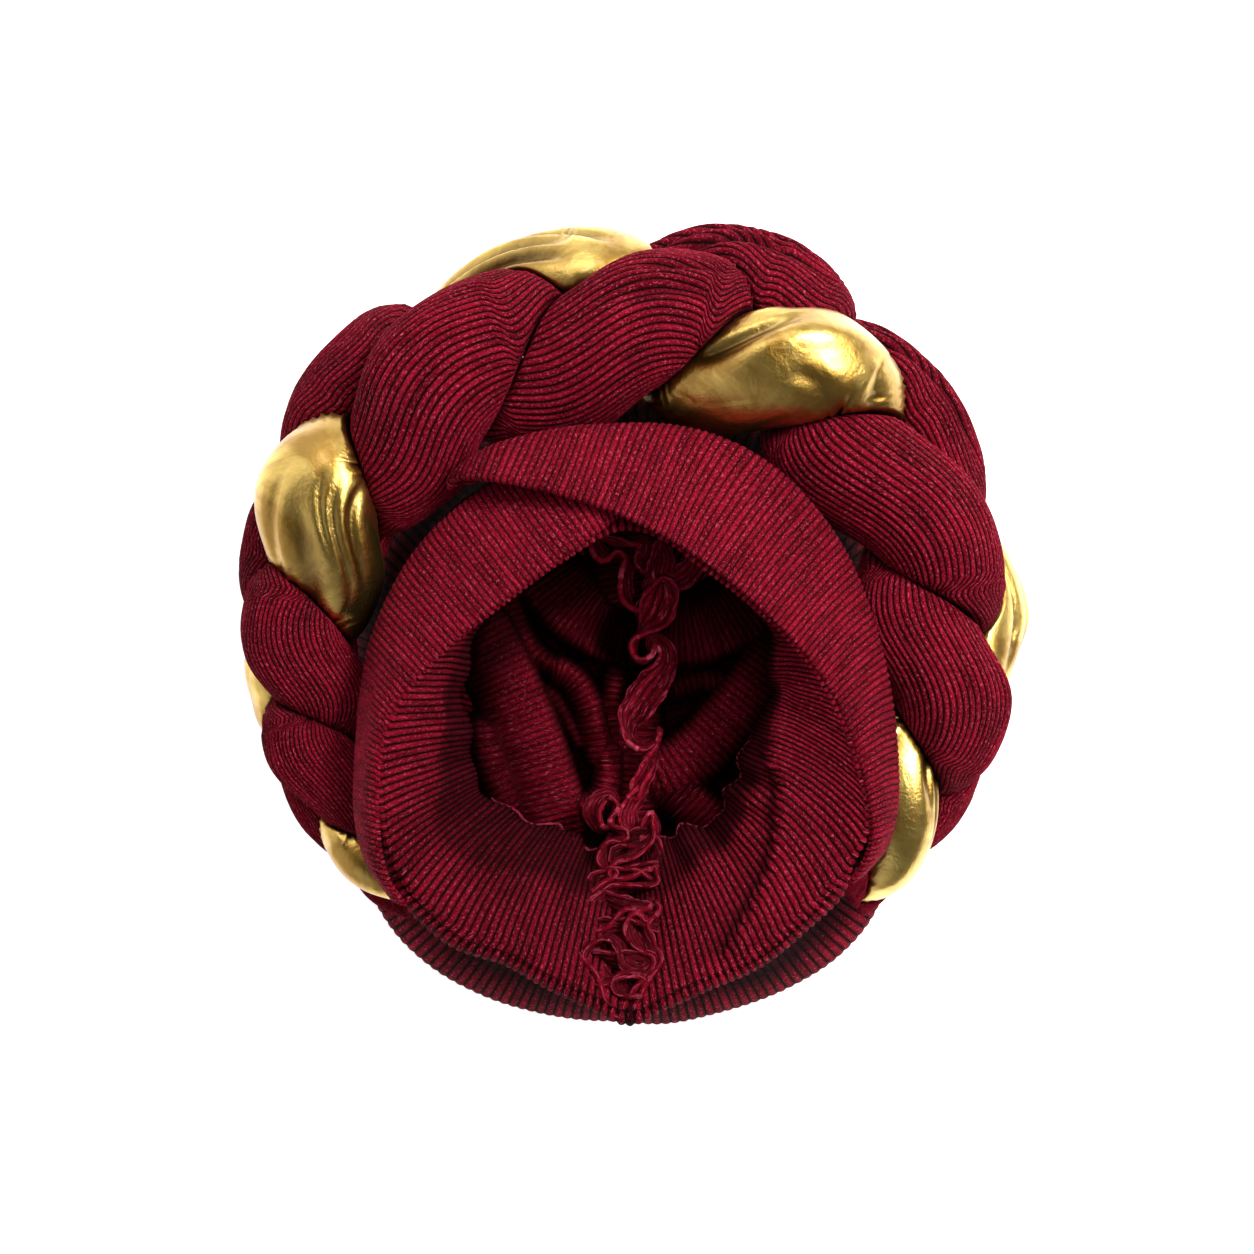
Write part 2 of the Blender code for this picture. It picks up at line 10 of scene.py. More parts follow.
import bpy
import numpy as np
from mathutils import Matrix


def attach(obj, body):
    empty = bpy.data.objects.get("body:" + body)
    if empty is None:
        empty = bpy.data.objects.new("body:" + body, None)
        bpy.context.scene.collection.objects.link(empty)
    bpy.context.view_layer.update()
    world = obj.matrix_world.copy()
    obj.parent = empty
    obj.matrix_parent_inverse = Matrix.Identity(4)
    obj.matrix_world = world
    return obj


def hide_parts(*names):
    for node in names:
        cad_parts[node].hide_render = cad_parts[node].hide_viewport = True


bl_info = {
    "name": "Turban headwrap",
    "version": (1, 0, 0),
    "blender": (4, 5, 0),
    "location": "View3D > Sidebar > Headwrap",
    "description": "Dresses the packed turban headwrap in rib knit and gold leathercloth",
    "category": "Object",
}

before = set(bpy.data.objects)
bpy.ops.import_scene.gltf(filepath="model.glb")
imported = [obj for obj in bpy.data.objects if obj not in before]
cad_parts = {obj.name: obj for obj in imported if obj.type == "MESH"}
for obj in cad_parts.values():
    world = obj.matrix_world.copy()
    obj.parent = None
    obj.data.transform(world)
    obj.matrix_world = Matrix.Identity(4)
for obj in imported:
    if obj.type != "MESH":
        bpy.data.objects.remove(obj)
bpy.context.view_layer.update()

MM = 0.001
TAU = 2 * math.pi
RIB_STEPS = 6
HEAD_Y = -42.0
TINY = 1e-6

# The plait: reach of a strand centre in width and in depth, radius of a roll, how rolls press
# on each other, the hull that other pieces keep clear of, and how ribs stand, wander and sink
REACH_WIDE = 18.0
REACH_DEEP = 9.0
ROLL_RADIUS = 23.3
CELL_SOFTNESS = 9.0
STRAND_GAP = 0.3
WALL_LEAST = 0.6
HULL_WIDE = 43.5
HULL_DEEP = 34.0
HULL_POWER = 3.2
PUSH_POWER = 24.0
TAIL_FADE = 6.0
RIB_FREE = 0.7
RIB_PRESSED = 1.1
RIB_UNEVEN = 0.35
RIB_DRIFT = 0.008
RIB_SHIFT = 0.25
GROUP_SHIFT = 0.35
PRESSED_SPAN = (0.03, 0.12)
# Painted shade: CREVICE_SPAN darkens rolls where neighbours press, CREASE_SHADE and CREASE_MOST along
# creases
CREVICE_SPAN = (0.02, 0.16)
TRAVEL_STEP = 0.5
SWELL_SHARPNESS = 1.6
SWELL_LEAST = 20.0
CREASE_SHADE = 0.22
CREASE_MOST = 3.0

# Plait: azimuth, ring radius, height, size, tilt of its face, lobe number
PLAIT = (
    (232, 120, 54, 0.24, 10, -0.35), (224, 121, 53.5, 0.36, 10, 0.1), (212, 120, 52, 0.46, 12, 0.7),
    (203, 118.5, 51, 0.55, 15, 1.1), (186, 117.5, 50, 0.66, 20, 2), (163, 118, 52, 0.78, 25, 3),
    (135, 117, 53, 0.93, 32, 4), (96, 114.5, 54, 1, 38, 5), (64, 116, 53, 0.97, 35, 6),
    (44, 114.5, 52.5, 0.93, 33, 6.66), (28, 113.5, 52, 0.88, 30, 7.06), (-4, 113.5, 50, 0.8, 24, 8),
    (-31, 115, 50, 0.6, 15, 9), (-43, 119, 52.5, 0.42, 10, 9.5), (-50, 121, 54, 0.26, 10, 9.9))

# Fullness of the strands: azimuth, gold, first cloth strand, second cloth strand
FULLNESS = (
    (232, 1, 1, 1), (203, 0.92, 1.04, 1), (186, 0.88, 0.98, 1.06), (163, 1.03, 0.97, 0.98),
    (150, 0.98, 1.02, 0.96), (137, 0.86, 1.1, 1.02), (109, 0.82, 1.04, 1.04), (96, 0.9, 1.02, 1.06),
    (64, 1.02, 1.02, 0.96), (28, 0.84, 1.1, 0.98), (10, 0.84, 1.02, 1.04), (-4, 0.86, 0.96, 1.12),
    (-31, 1.04, 0.96, 0.98), (-50, 1, 1, 1))

# Swells and creases of the rolls: strand, azimuth and its half span, section angle and its
# half span, drift of that angle per degree of azimuth, height (a crease is below 0)
SWELLS = (
    (0, 9, 14, 150, 50, 0, 9.5), (0, 112, 16, 140, 40, 0, 2.5), (0, 166, 24, 105, 48, 0, 7),
    (0, 172, 20, 44, 20, -0.4, -3), (1, 172, 16, 160, 70, 0, -3.5), (2, 159, 12, -60, 50, 0, 5),
    (2, 121, 15, 150, 45, 0, 8), (1, 76, 18, 150, 45, 0, 3), (2, -14, 14, 120, 50, 0, 3.5),
    (2, 186, 14, 120, 45, 0, 3), (1, 203, 12, 110, 45, 0, 3), (0, 112, 15, 84, 9, 1.6, -4.9),
    (0, 112, 15, 106, 8, 1.6, -4.5), (0, 110, 14, 128, 8, 1.6, -4.2), (0, 112, 15, 150, 9, 1.6, -3),
    (0, 100, 9, 110, 8, 2, -3), (0, 70, 10, 58, 9, -3.2, -4.2), (0, 71, 9, 82, 10, -3.2, 1.8),
    (0, 60, 14, 66, 22, -2, 2.4), (0, 52, 10, 18, 14, 1.5, -1.6), (0, 43, 5, 34, 9, 6, -3.2),
    (0, 170, 22, 82, 7, 0.5, -2.2), (0, 174, 18, 112, 6, 0.3, -2), (0, 160, 12, -14, 8, -1, -2.2),
    (0, 162, 12, 6, 7, -1, -1.8), (0, 158, 9, 24, 6, -1.2, -1.2), (0, 8, 16, 92, 8, 0.8, -3),
    (0, 6, 16, 124, 9, 0.8, -3.4), (0, -22, 9, 50, 8, -1.5, -2.6), (0, -26, 12, 76, 7, -1.5, -2.4),
    (0, -30, 12, 100, 8, -1.2, -2.6), (0, -34, 10, 130, 8, -0.8, -2.4), (1, 80, 22, 84, 8, -0.7, -4.2),
    (1, 76, 22, 108, 7, -0.7, -4.4), (1, 74, 20, 132, 8, -0.6, -4), (1, 76, 18, 154, 8, -0.5, -3),
    (2, 42, 18, 84, 8, -0.5, -3.6), (2, 40, 18, 108, 7, -0.5, -3.8), (2, 40, 18, 132, 8, -0.5, -3.4),
    (2, 42, 16, 154, 8, -0.4, -2.6), (2, 84, 10, 58, 8, 1, -2.2), (2, 82, 9, 82, 7, 1, -2.2),
    (1, 20, 10, 20, 8, 0.8, -1.6), (1, 203, 12, 88, 8, 0.5, -1.8), (2, 190, 12, 118, 8, 0.5, -1.8))
# Rolls: piece, CAD node, finish, material slot, rings, ribs round it, whether it is ribbed
ROLLS = (("plait_roll_gold", "braid_strand_gold", "gold leathercloth", "gold_leathercloth", 260, 24, 0),
         ("plait_roll_left", "braid_strand_left", "wine knit", "wine_knit", 280, 50, 1),
         ("plait_roll_right", "braid_strand_right", "wine knit", "wine_knit", 280, 50, 1))

# Cap sections: azimuth about the opening, floor radius, girth radius and height,
# neck radius and height, lip radius and height
CAP = (
    (270, 80, 97, 34, 83.5, 64, 86.4, 100), (278, 80, 98, 34, 80, 64, 82, 100),
    (287, 80, 98.5, 34, 78, 64, 79.2, 100), (304, 79, 102.5, 31, 83, 61, 79.6, 100),
    (316, 78, 106, 25, 80.5, 56, 79.9, 99.6), (327, 76, 107, 20, 78, 52, 82.6, 98),
    (336, 74, 104, 18, 78, 51, 86, 92), (346, 72, 98, 17, 79.5, 50, 88, 84),
    (0, 70, 95, 17, 83, 50, 89, 72), (30, 80, 111, 23, 97, 50, 96, 66),
    (60, 96, 128, 23, 113, 48, 112.5, 62), (90, 104, 135, 23, 122, 48, 121.5, 62),
    (120, 96, 128, 23, 113, 48, 112.5, 62), (150, 84, 113, 24, 98, 50, 96, 66),
    (180, 75, 100, 19, 89.5, 50, 90, 74), (195, 75, 102, 18, 84.5, 50, 89.5, 84),
    (206, 76, 107, 19, 80.5, 52, 89.8, 92), (217, 78, 108, 23, 80, 55, 87, 98),
    (226, 80, 106, 29, 81.5, 58, 84.2, 99.6), (238, 81, 102, 33, 77.5, 63, 78, 100),
    (249, 80, 99, 34, 77.5, 64, 78.8, 100), (261, 80, 97.5, 34, 80, 64, 82, 100))
# The cap's section points, its cloth, the seam's groove and the painted shade under the facing and along
# the seam
CAP_STOPS = (0.0, 0.20, 0.40, 0.53, 0.67, 0.84, 1.0)
KNEE_OUT = 0.70
KNEE_UP = 0.30
CAP_RIBS = 186
CAP_CLOTH = 2.4
LIP_CLOTH = 3.6
HULL_MARGIN = 1.7
WALL_START = 0.26
WALL_KNEE = 0.45
SEAM_AT = 270.0
SEAM_HALF = 1.6
SEAM_DEEP = 1.5
SEAM_SHADE = 0.8
WALL_SPAN = (0.4, 0.2)
WALL_WANDER = 0.7
LIP_SPAN = (0.9, 0.1)
NECK_SPAN = (0.705, 0.06)
NECK_SHADE = 0.97
CAP_DEEPER = 1.2
RIB_MIDDLE = 0.75

# Folds of the sunken crown: start, bend and end of the crest, its half widths to the left
# and right of the way along it, height
FOLDS = (
    (-46, 4, -31, -24.5, -21, -60, 4.5, 24, 27), (-20, -62, -7, -64, -8.5, -42, 6, 8, 24),
    (-44, 16, -38, -9, -24, -10, 4, 6, 19), (-25, -10, -13, -14, -9, -42, 4, 9, 23),
    (-30, -19, -26, -22, -19, -38, 3, 4, 13), (-33, 12, -18, -6, 2, -6, 26, 5, 22),
    (-5, -15, -7, -28, -3, -38, 5, 6, 20), (6, -5, 26, -11, 46, 3, 26, 5, 18),
    (52, 1, 27, -34, 13, -43, 20, 5, 26), (10, -46, 21, -53, 34, -66, 5, 16, 19),
    (-50, -36, -46, -62, -24, -78, 9, 12, 16), (18, -17, 30, -13, 42, -16, 5, 7, 13),
    (3, -30, 1, -62, 0, -96, 10, 10, 18), (-6, 68, -5, 45, 0, 20, 14, 14, 22))
# The crown's fold shape, its flat middle, its grid, its cloth and the painted shade between folds and
# near its edge
FOLD_POWER = 0.55
FOLD_BLEND = 7
FOLD_RIB = 2.45
FLAT_RADIUS = 4.0
FLAT_FADE = 16.0
CROWN_LOW = (-92.0, -134.0)
CROWN_HIGH = (92.0, 84.0)
CROWN_STEP = 1.15
CROWN_INSET = 3.0
CROWN_FADE = 16.0
CROWN_CLOTH = 1.6
CROWN_LIFT = 0.8
CROWN_WANDER = 0.5
CROWN_TALL = 21.0
CROWN_TALLER = 8.0
TALLER_SPAN = (-45.0, 60.0)
CROWN_EDGE_SPAN = (45.0, 18.0)
CROWN_EDGE_SHADE = 0.85

# Hem facing: azimuth about the opening, top radius and height, free edge radius and height,
# slant of its ribs in degrees from top to free edge, share down where it turns steep
FACING = (
    (270, 83, 99.4, 38, 56, 0, 0.6), (278, 79, 99.4, 35, 56, 0, 0.62),
    (287, 76.2, 99.4, 33.5, 55, 2, 0.66), (298, 76.2, 99.4, 32, 54, 4, 0.72),
    (312, 76.6, 99.4, 36.5, 55, 10, 0.8), (327, 80, 98.2, 38.5, 56, 17, 0.84),
    (344, 84.6, 97.2, 43, 58, 21, 0.88), (1, 77.5, 97.2, 50.7, 60, 17, 0.92),
    (21, 72, 97.4, 57.5, 60, 9, 0.9), (37, 69.5, 97.4, 65, 62, 3, 0.8), (55, 69, 97.2, 72, 64, 0, 0.6),
    (72, 73, 96.4, 82, 66, 0, 0.6), (80, 77.5, 94, 87, 66, 0, 0.6), (90, 81, 90, 92, 66, 0, 0.6),
    (108, 74, 90.5, 84, 66, 0, 0.6), (128, 70.3, 93.5, 76, 64, 0, 0.6), (148, 74.5, 96, 71, 62, -2, 0.7),
    (168, 82.5, 97.4, 61.5, 60, -4, 0.7), (190, 87, 97.4, 55, 60, -6, 0.6),
    (208, 87.5, 97.6, 52, 58, -10, 0.42), (224, 81.2, 99, 42.3, 56, -10, 0.52),
    (238, 75, 99.4, 36.5, 54, -8, 0.62), (249, 75.6, 99.4, 35, 54, -4, 0.62),
    (261, 78.8, 99.4, 36, 55, -1, 0.6))
# The facing's slope, valley and stitch line at the seam, rolled rim, crease and wavy free edge
FACING_POWER = 1.25
FACING_SHALLOW = 0.42
VALLEY_HALF = 11.0
VALLEY_DEEP = 9.0
VALLEY_SPAN = (0.02, 0.16)
# Painted shade of the facing: in the valley at the seam, on its stitch line, and from LEFT_SPAN on the
# left
VALLEY_SHADE = 0.72
VALLEY_SHADE_HALF = 12.0
STITCH_SHADE = 0.95
STITCH_HALF = 1.9
LEFT_SPAN = (250.0, 60.0)
FACING_CLOTH = 2.0
FACING_ROWS = 20
RIM_RADIUS = 3.3
RIM_STEPS = 9
RIM_ARC = (-40.0, 108.0)
RIM_SPAN = (196.0, 14.0)
RIM_END = 338.0
RIM_FADE = 12.0
CREASE_FREE = 380.0
CREASE_TOP = 294.5
CREASE_DEEP = 6.0
CREASE_SLOPE = 14.0
# Painted shade along the crease: share and half width
CREASE_SHADES = ((0.55, 7.0), (0.4, 26.0))
WAVY_SPAN = (0.45, 0.55)
EDGE_WAVES = 23
EDGE_SWING = 3.4
# Overlock threads of the free edge: azimuth from and to, lift above it, swing
EDGE_THREADS = ((206, 258, 1.0, 0.5), (209, 262, 0.1, 0.4), (280, 350, 1.0, 0.5), (278, 344, 0.1, 0.4))
THREAD_SIDES = 5
THREAD_SCALE = 2.0

# Front bands: place along, inner edge x y z, outer edge x y z
BAND_RIGHT = (
    (0, -67, 55.5, 77, -61, 63, 70), (0.06, -58.5, 55.6, 89, -54.5, 70, 71),
    (0.13, -44.6, 54.3, 98.5, -45, 75, 72), (0.2, -24, 49.8, 101, -25, 82, 71),
    (0.27, -6.9, 44, 102, -8, 84, 71), (0.34, 10.3, 36.1, 102, 11, 84.5, 71),
    (0.41, 24, 27.5, 102, 31, 80, 71), (0.49, 41.2, 13.8, 102, 53, 69, 71),
    (0.58, 58.3, -3.3, 101, 72, 46, 72), (0.67, 70.3, -20.5, 100.5, 84, 18, 74),
    (0.75, 77.2, -37.7, 100, 90, -8, 76), (0.82, 81.2, -54.8, 100, 92.5, -34, 80),
    (0.88, 82.4, -68, 99.8, 92.5, -56, 86), (0.94, 79.7, -77, 98.8, 88.5, -71, 90),
    (1, 75.8, -83.5, 96.6, 81.5, -80, 91))
BAND_LEFT = (
    (0, 12, 44, 92, 14, 64, 82), (0.08, -1.7, 43.1, 94, 0, 67, 79),
    (0.15, -10.3, 37.2, 95.5, -18, 66, 78), (0.25, -31, 22.4, 97, -42, 60, 74),
    (0.36, -51.6, 7, 98.5, -64, 48, 72), (0.47, -68.9, -8.5, 99.5, -80, 29, 72),
    (0.57, -80.9, -22.3, 100, -89, 8, 74), (0.67, -84.8, -37.8, 100, -93, -15, 80),
    (0.77, -86.4, -55, 100, -95, -39, 82), (0.86, -85.4, -72.2, 100, -95, -60, 87),
    (0.94, -82, -84, 98.8, -90.5, -77, 90.5), (1, -77, -91.2, 96.2, -82.5, -89.5, 91.5))
# The bands' cloth, bulge, rolled inner edge, slant of the ribs, points round them, thin tail
# and plain outer part
BAND_CLOTH = 3.4
BAND_GAP = 0.5
BAND_BULGE = 3.5
BAND_ROLL = 1.6
ROLL_SHARE = 0.22
BAND_WIDE = 34.0
BAND_LEAN = 0.085
BAND_TOP_STEPS = 20
BAND_UNDER_STEPS = 7
BAND_ARC_STEPS = 5
BAND_FINER = 0.8
BAND_SHALLOWER = 0.7
# BAND_SUNK is the share of the painted groove shade on the bands
BAND_SUNK = 0.8
RIB_COUNT_AT = 0.25
TAIL_THINNER = 0.45
TAIL_SPAN = (0.88, 0.12)
PLAIN_SHARE = 0.75
PLAIN_FADE = 0.12
PLAIN_SPAN = (0.30, 0.25)
# Bands: piece, edges, distance from the plait's hull, where its plain part starts, flat size
BANDS = (("band_right", BAND_RIGHT, BAND_CLOTH / 2 + BAND_GAP, 0.80, (0.31, 0.036)),
         ("band_left", BAND_LEFT, 3 * BAND_CLOTH / 2 + 2 * BAND_GAP, 0.52, (0.23, 0.032)))

# Ribbons of the gathered seam: name, then x, y and z of the middle, width and lean of its
# face, 0 for upright and 90 for lying to the right of the way along it
RIBBONS = (
    ("under", (
        (-8, -70, 45, 6, 50), (5, -72, 47, 7, -45), (-4, -78, 52, 6, 40), (9, -83, 57, 6, -60),
        (1, -85, 60, 7, 30), (-11, -87, 61, 7, 60), (-5, -93, 69, 6, -30), (9, -98, 75, 7, -60),
        (-2, -101, 78, 6, 25), (-13, -103, 79, 7, 55), (-7, -110, 86, 6, -35), (7, -112, 87, 6, -55),
        (-3, -118, 92, 6, 40), (4, -124, 96, 5, -30))),
    ("upper", (
        (-13.1, 42.2, 34, 5, 30), (-12.7, 35.6, 35, 6, 40), (-9.4, 30.5, 36, 6, 25),
        (-4.3, 31.6, 36, 5, -20), (-0.3, 29, 36, 5, 10), (-1.4, 22.4, 37, 6, 35), (-0.7, 15.1, 37, 6, 40),
        (3.7, 10.8, 35, 5, 0), (5.9, 15.9, 36, 5, -30), (7.3, 21, 36, 5, 10), (12.4, 21, 37, 6, -40),
        (11.3, 15.1, 38, 10, -62), (8.1, 8.2, 38, 9, -65), (4.8, 2.7, 38, 5, -30), (1.5, -1.3, 38, 4, 15),
        (1.9, -6, 38, 4, 15), (4.8, -7.8, 38, 4, 0), (7.7, -5.3, 38, 4, 0), (7.7, -0.9, 39, 4, 10),
        (10.6, -0.2, 39, 4, 35), (13.5, -4.2, 39, 5, 62), (13.5, -8.9, 39, 6, 75),
        (10.6, -13.7, 39, 7, 82), (6.6, -18.8, 38, 8, 84), (3, -24.3, 37, 8, 80),
        (-0.3, -30.9, 36, 6, 50), (0.4, -36.3, 36, 5, 20), (4.8, -38.9, 36, 4, 5),
        (9.2, -36.7, 37, 4, -5), (11, -32.6, 38, 4, 5), (9.9, -38.5, 37, 4, 15), (7.7, -44.7, 37, 5, 35),
        (4.1, -52.3, 38, 5, 35), (1.9, -57, 39, 4, 0), (4.8, -52.6, 40, 4, -20), (7.7, -47.5, 40, 4, 5))),
    ("middle", (
        (7.7, -48.3, 37, 4, 10), (4.8, -54.8, 39, 5, 20), (0.8, -60.1, 41, 5, 25),
        (-0.7, -65.5, 43, 5, 25), (1.5, -69.3, 45, 5, 5), (5.8, -67.1, 46, 5, -10), (8, -62.4, 46, 5, 5),
        (9.4, -68.1, 47, 5, 25), (6.5, -73.3, 50, 5, 10), (0.7, -77.3, 54, 5, 10), (-5, -79.9, 57, 5, 15),
        (-6, -83.6, 60, 5, 0), (-0.7, -84.1, 62, 5, -15), (5, -81.5, 60, 5, 0), (9.3, -81.5, 59, 5, 20),
        (8.9, -86.8, 64, 5, 25), (2.1, -87.3, 66, 5, 10), (-5.7, -88.9, 68, 5, 20),
        (-11.3, -93.3, 71, 5, 30), (-12.7, -98.2, 75, 6, 30), (-8.1, -99.8, 76, 5, -10),
        (-2.1, -94.4, 74, 5, -20), (4.2, -93.7, 74, 4, 0), (9.5, -91.4, 72, 4, 20),
        (10.6, -95.3, 75, 5, 30), (5.6, -98.3, 77, 5, 10), (1.8, -97.1, 78, 5, 10),
        (0.7, -102, 82, 5, 20), (3.8, -106.2, 85, 5, 20), (7.3, -110.2, 87, 5, 15),
        (3.8, -113.7, 89, 5, 0), (-1.7, -111.3, 89, 5, -15), (-3.5, -106.1, 86, 5, -10),
        (-7.7, -103.5, 84, 5, 10), (-11.5, -106.9, 85, 6, 35), (-12.2, -112.1, 88, 6, 35),
        (-9, -116.6, 91, 5, 10), (-4.2, -116.2, 92, 4, -15), (1.4, -115.5, 92, 4, 0),
        (6.2, -116.5, 92, 5, 25), (3.8, -120.8, 94, 5, 30), (0.3, -125.2, 97, 4, 15),
        (-0.7, -128.4, 99, 3, 5))),
    ("left", (
        (-6.1, -67.6, 43, 5, -10), (-10.5, -68.6, 44, 5, 25), (-13.7, -62.9, 43, 6, 40),
        (-11.6, -58, 41, 5, 20), (-6.9, -56.6, 40, 5, -10), (-4.7, -61.2, 42, 5, -25),
        (-5.8, -66.8, 45, 5, 10), (-2.1, -71.2, 49, 5, 0), (-7.9, -74.2, 52, 5, 25),
        (-9.3, -79.6, 56, 5, 30), (-6.4, -83.6, 60, 5, 0), (-9.6, -87.2, 64, 5, 25),
        (-13.4, -91.8, 68, 5, 35), (-15.1, -97.9, 74, 6, 40), (-15.4, -104.3, 80, 6, 40),
        (-13.9, -110.3, 86, 6, 35), (-10.8, -116.1, 90, 5, 25), (-8, -122.1, 94, 5, 25),
        (-4.5, -126.9, 97, 4, 20), (-2.1, -129.1, 99, 3, 10))),
    ("right", (
        (3.6, -71.7, 47, 4, 0), (8.3, -70.9, 48, 4, 10), (10.1, -76.3, 53, 4, -20),
        (9.3, -81.7, 57, 4, -10), (12.1, -87.6, 63, 5, -30), (11.7, -92.7, 69, 5, -30),
        (7.8, -96.5, 74, 4, -10), (5.6, -100.9, 79, 5, 10), (7, -106.7, 84, 5, -20),
        (9, -111.2, 87, 5, -30), (6.2, -117, 91, 5, -25), (3.4, -122.7, 95, 4, -20),
        (0.7, -127.8, 98, 3, -10))),
    ("top", (
        (-10.9, 37.8, 36, 4, 15), (-5.1, 35.9, 37, 4, -20), (0.8, 35.2, 38, 4, 5), (5.1, 35.9, 38, 4, 20),
        (5.9, 32.2, 38, 5, 35), (3.7, 28.2, 38, 5, 30), (6.2, 24.6, 38, 5, 10), (9.2, 30.4, 38, 5, -30),
        (10.6, 35.6, 37, 5, -25), (12.5, 29.7, 36, 5, 20), (11.7, 23.9, 35, 5, 40),
        (16.5, 21.7, 34, 6, 60), (22, 25.4, 33, 6, 60), (24.6, 30.6, 32, 5, 40))))
# The ribbons' points, height and width, twist, cloth and painted shade
RIBBON_STEP = 1.1
RIBBON_ACROSS = 11
RIBBON_RIB = 2.5
RIBBON_RISE = 5.5
RIBBON_WIDER = 1.45
RISE_SPAN = (40.0, 15.0)
RIBBON_LEANER = 1.25
RIBBON_TWIST = 0.75
RIBBON_UNEVEN = 0.12
RIBBON_DIP = 0.16
RIBBON_GRAIN = 0.3
RUFFLE_SPAN = (42.0, 20.0)
UNDER_SHADE = 0.62
RUFFLE_CLOTH = 1.7

# Grain of the knit: scale across and along the ribs, and bend, of stitch, fibre, fleck, patch
GRAINS = ((1.5, 2.0, 0.6), (6.5, 0.8, 0.8), (5.0, 0.9, 0.6), (0.13, 0.04, 0.0))
PATCH_WEIGHT = 0.35
GRAIN_WEIGHTS = (0.60, 0.60, 0.50)
KNIT_BUMP = 0.0011
GOLD_BUMP = 0.0003
SPECK_SHARE = 0.72
# Painted shade: how far the hollow value darkens the yarn, and how far the crown's knit is dimmed
PAINTED_SHADE_SHARE = 0.93
CROWN_PAINTED_SHADE = 0.78
THREAD_SHADE = 0.62

# Stage, in metres and watts: the floor, the sky's greys by height for light and for shine, and
# each lamp's name, place, size and power
FLOOR_HALF = 3.0
FLOOR_GLOW = 0.85
SKY = ((0.0, 0.80), (0.50, 0.10), (0.68, 0.18), (0.80, 0.55), (0.95, 0.85))
SHINE = ((0.0, 0.90), (0.28, 1.80), (0.62, 1.70), (0.82, 0.40), (0.97, 0.12))
SHINE_SIDE = (-0.7, 0.7, 0.0)
SKY_STRENGTH = 0.52
LAMPS = (("key", (0.56, 0.40, 0.92), 0.40, 13.0), ("fill", (-0.35, 1.05, 1.2), 0.7, 5.0),
         ("top", (0.2, 0.1, 2.2), 1.0, 11.0))
LAMP_AIM = (0.0, 0.0, 0.05)
CAMERA_PLACE = (-0.00105, 0.00455)
CAMERA_LENS = 83.66


def through(rows, at, period=None):
    """Smooth curve through table rows, whose first column is the place along it; a period
    joins its end to its start. Between two rows it is the cubic that keeps their values and
    the slopes of the parabolas through each row and its neighbours."""
    rows = np.array(sorted(rows, key=lambda row: row[0]), float)
    at = np.asarray(at, float)
    if period:
        turn = np.zeros(rows.shape[1])
        turn[0] = period
        first = rows[0, 0]
        rows = np.vstack([rows[-2:] - turn, rows, rows[:2] + turn])
        at = (at - first) % period + first
    place, value = rows[:, 0], rows[:, 1:]
    step = np.diff(place)[:, None]
    slope = np.diff(value, axis=0) / step
    middle = (slope[:-1] * step[1:] + slope[1:] * step[:-1]) / (step[1:] + step[:-1])
    slope = np.vstack([slope[:1], middle, slope[-1:]])
    i = np.clip(np.searchsorted(place, at, side="right") - 1, 0, len(place) - 2)
    h = step[i]
    x = (at - place[i])[..., None] / h
    return ((2 * x ** 3 - 3 * x ** 2 + 1) * value[i] + (x ** 3 - 2 * x ** 2 + x) * h * slope[i]
            + (3 * x ** 2 - 2 * x ** 3) * value[i + 1] + (x ** 3 - x ** 2) * h * slope[i + 1])


def ease(x, start=0.0, span=1.0):
    """Smooth rise from 0 to 1 over a span: 3 x squared less 2 x cubed, x the share of it."""
    x = np.clip((x - start) / span, 0.0, 1.0)
    return x * x * (3.0 - 2.0 * x)


def bell(x, half):
    """Bell of height 1: e to the minus square of x over its half width."""
    return np.exp(-(x / half) ** 2)


def rib_wave(phase):
    """Height of a rib, 0 in its groove and 1 on its crest: the square root of a raised
    cosine, so that the groove is narrow and the crest broad."""
    return np.sqrt(0.5 + 0.5 * np.cos(TAU * phase))


def wander(x, y, seed):
    """Gentle unevenness from -1 to 1: three sines of slanted planes with odd wavelengths."""
    return (np.sin(1.00 * x + 0.37 * y + seed) + np.sin(-0.61 * x + 1.13 * y + 2.3 * seed)
            + np.sin(0.23 * x - 1.71 * y + 0.7 * seed)) / 3.0


def unit(vectors):
    """Vectors scaled to length 1."""
    return vectors / np.maximum(np.linalg.norm(vectors, axis=-1, keepdims=True), 1e-9)


def round_of(angle):
    """Cosine and sine of an angle as a vector of two."""
    return np.stack([np.cos(angle), np.sin(angle)], -1)


def turned(out, up, azimuth, middle=HEAD_Y):
    """Points from a radius and a height, turned about the upright line at y = middle."""
    turn = np.radians(azimuth)
    return np.stack([out * np.cos(turn), out * np.sin(turn) + middle, up], -1)


def from_seam(azimuth):
    """Degrees from the centre seam at the back, from -180 to 180."""
    return (azimuth - SEAM_AT + 180.0) % 360.0 - 180.0


def grid_normals(grid, round_rows):
    """Unit normals of a grid of points: its slope along rows crossed with that along columns."""
    if round_rows:
        along = np.roll(grid, -1, 0) - np.roll(grid, 1, 0)
    else:
        along = np.gradient(grid, axis=0)
    return unit(np.cross(along, np.gradient(grid, axis=1)))


def run_length(points, axis=0):
    """Distance walked along a grid of points, from 0 at its start."""
    steps = np.linalg.norm(np.diff(points, axis=axis), axis=-1)
    start = np.zeros_like(np.take(steps, [0], axis))
    return np.concatenate([start, np.cumsum(steps, axis)], axis)


def spots_of(u, v, sunk, hollow):
    """The four values of each point on the cloth, spread over one grid."""
    return np.stack(np.broadcast_arrays(u, v, sunk, hollow), -1)


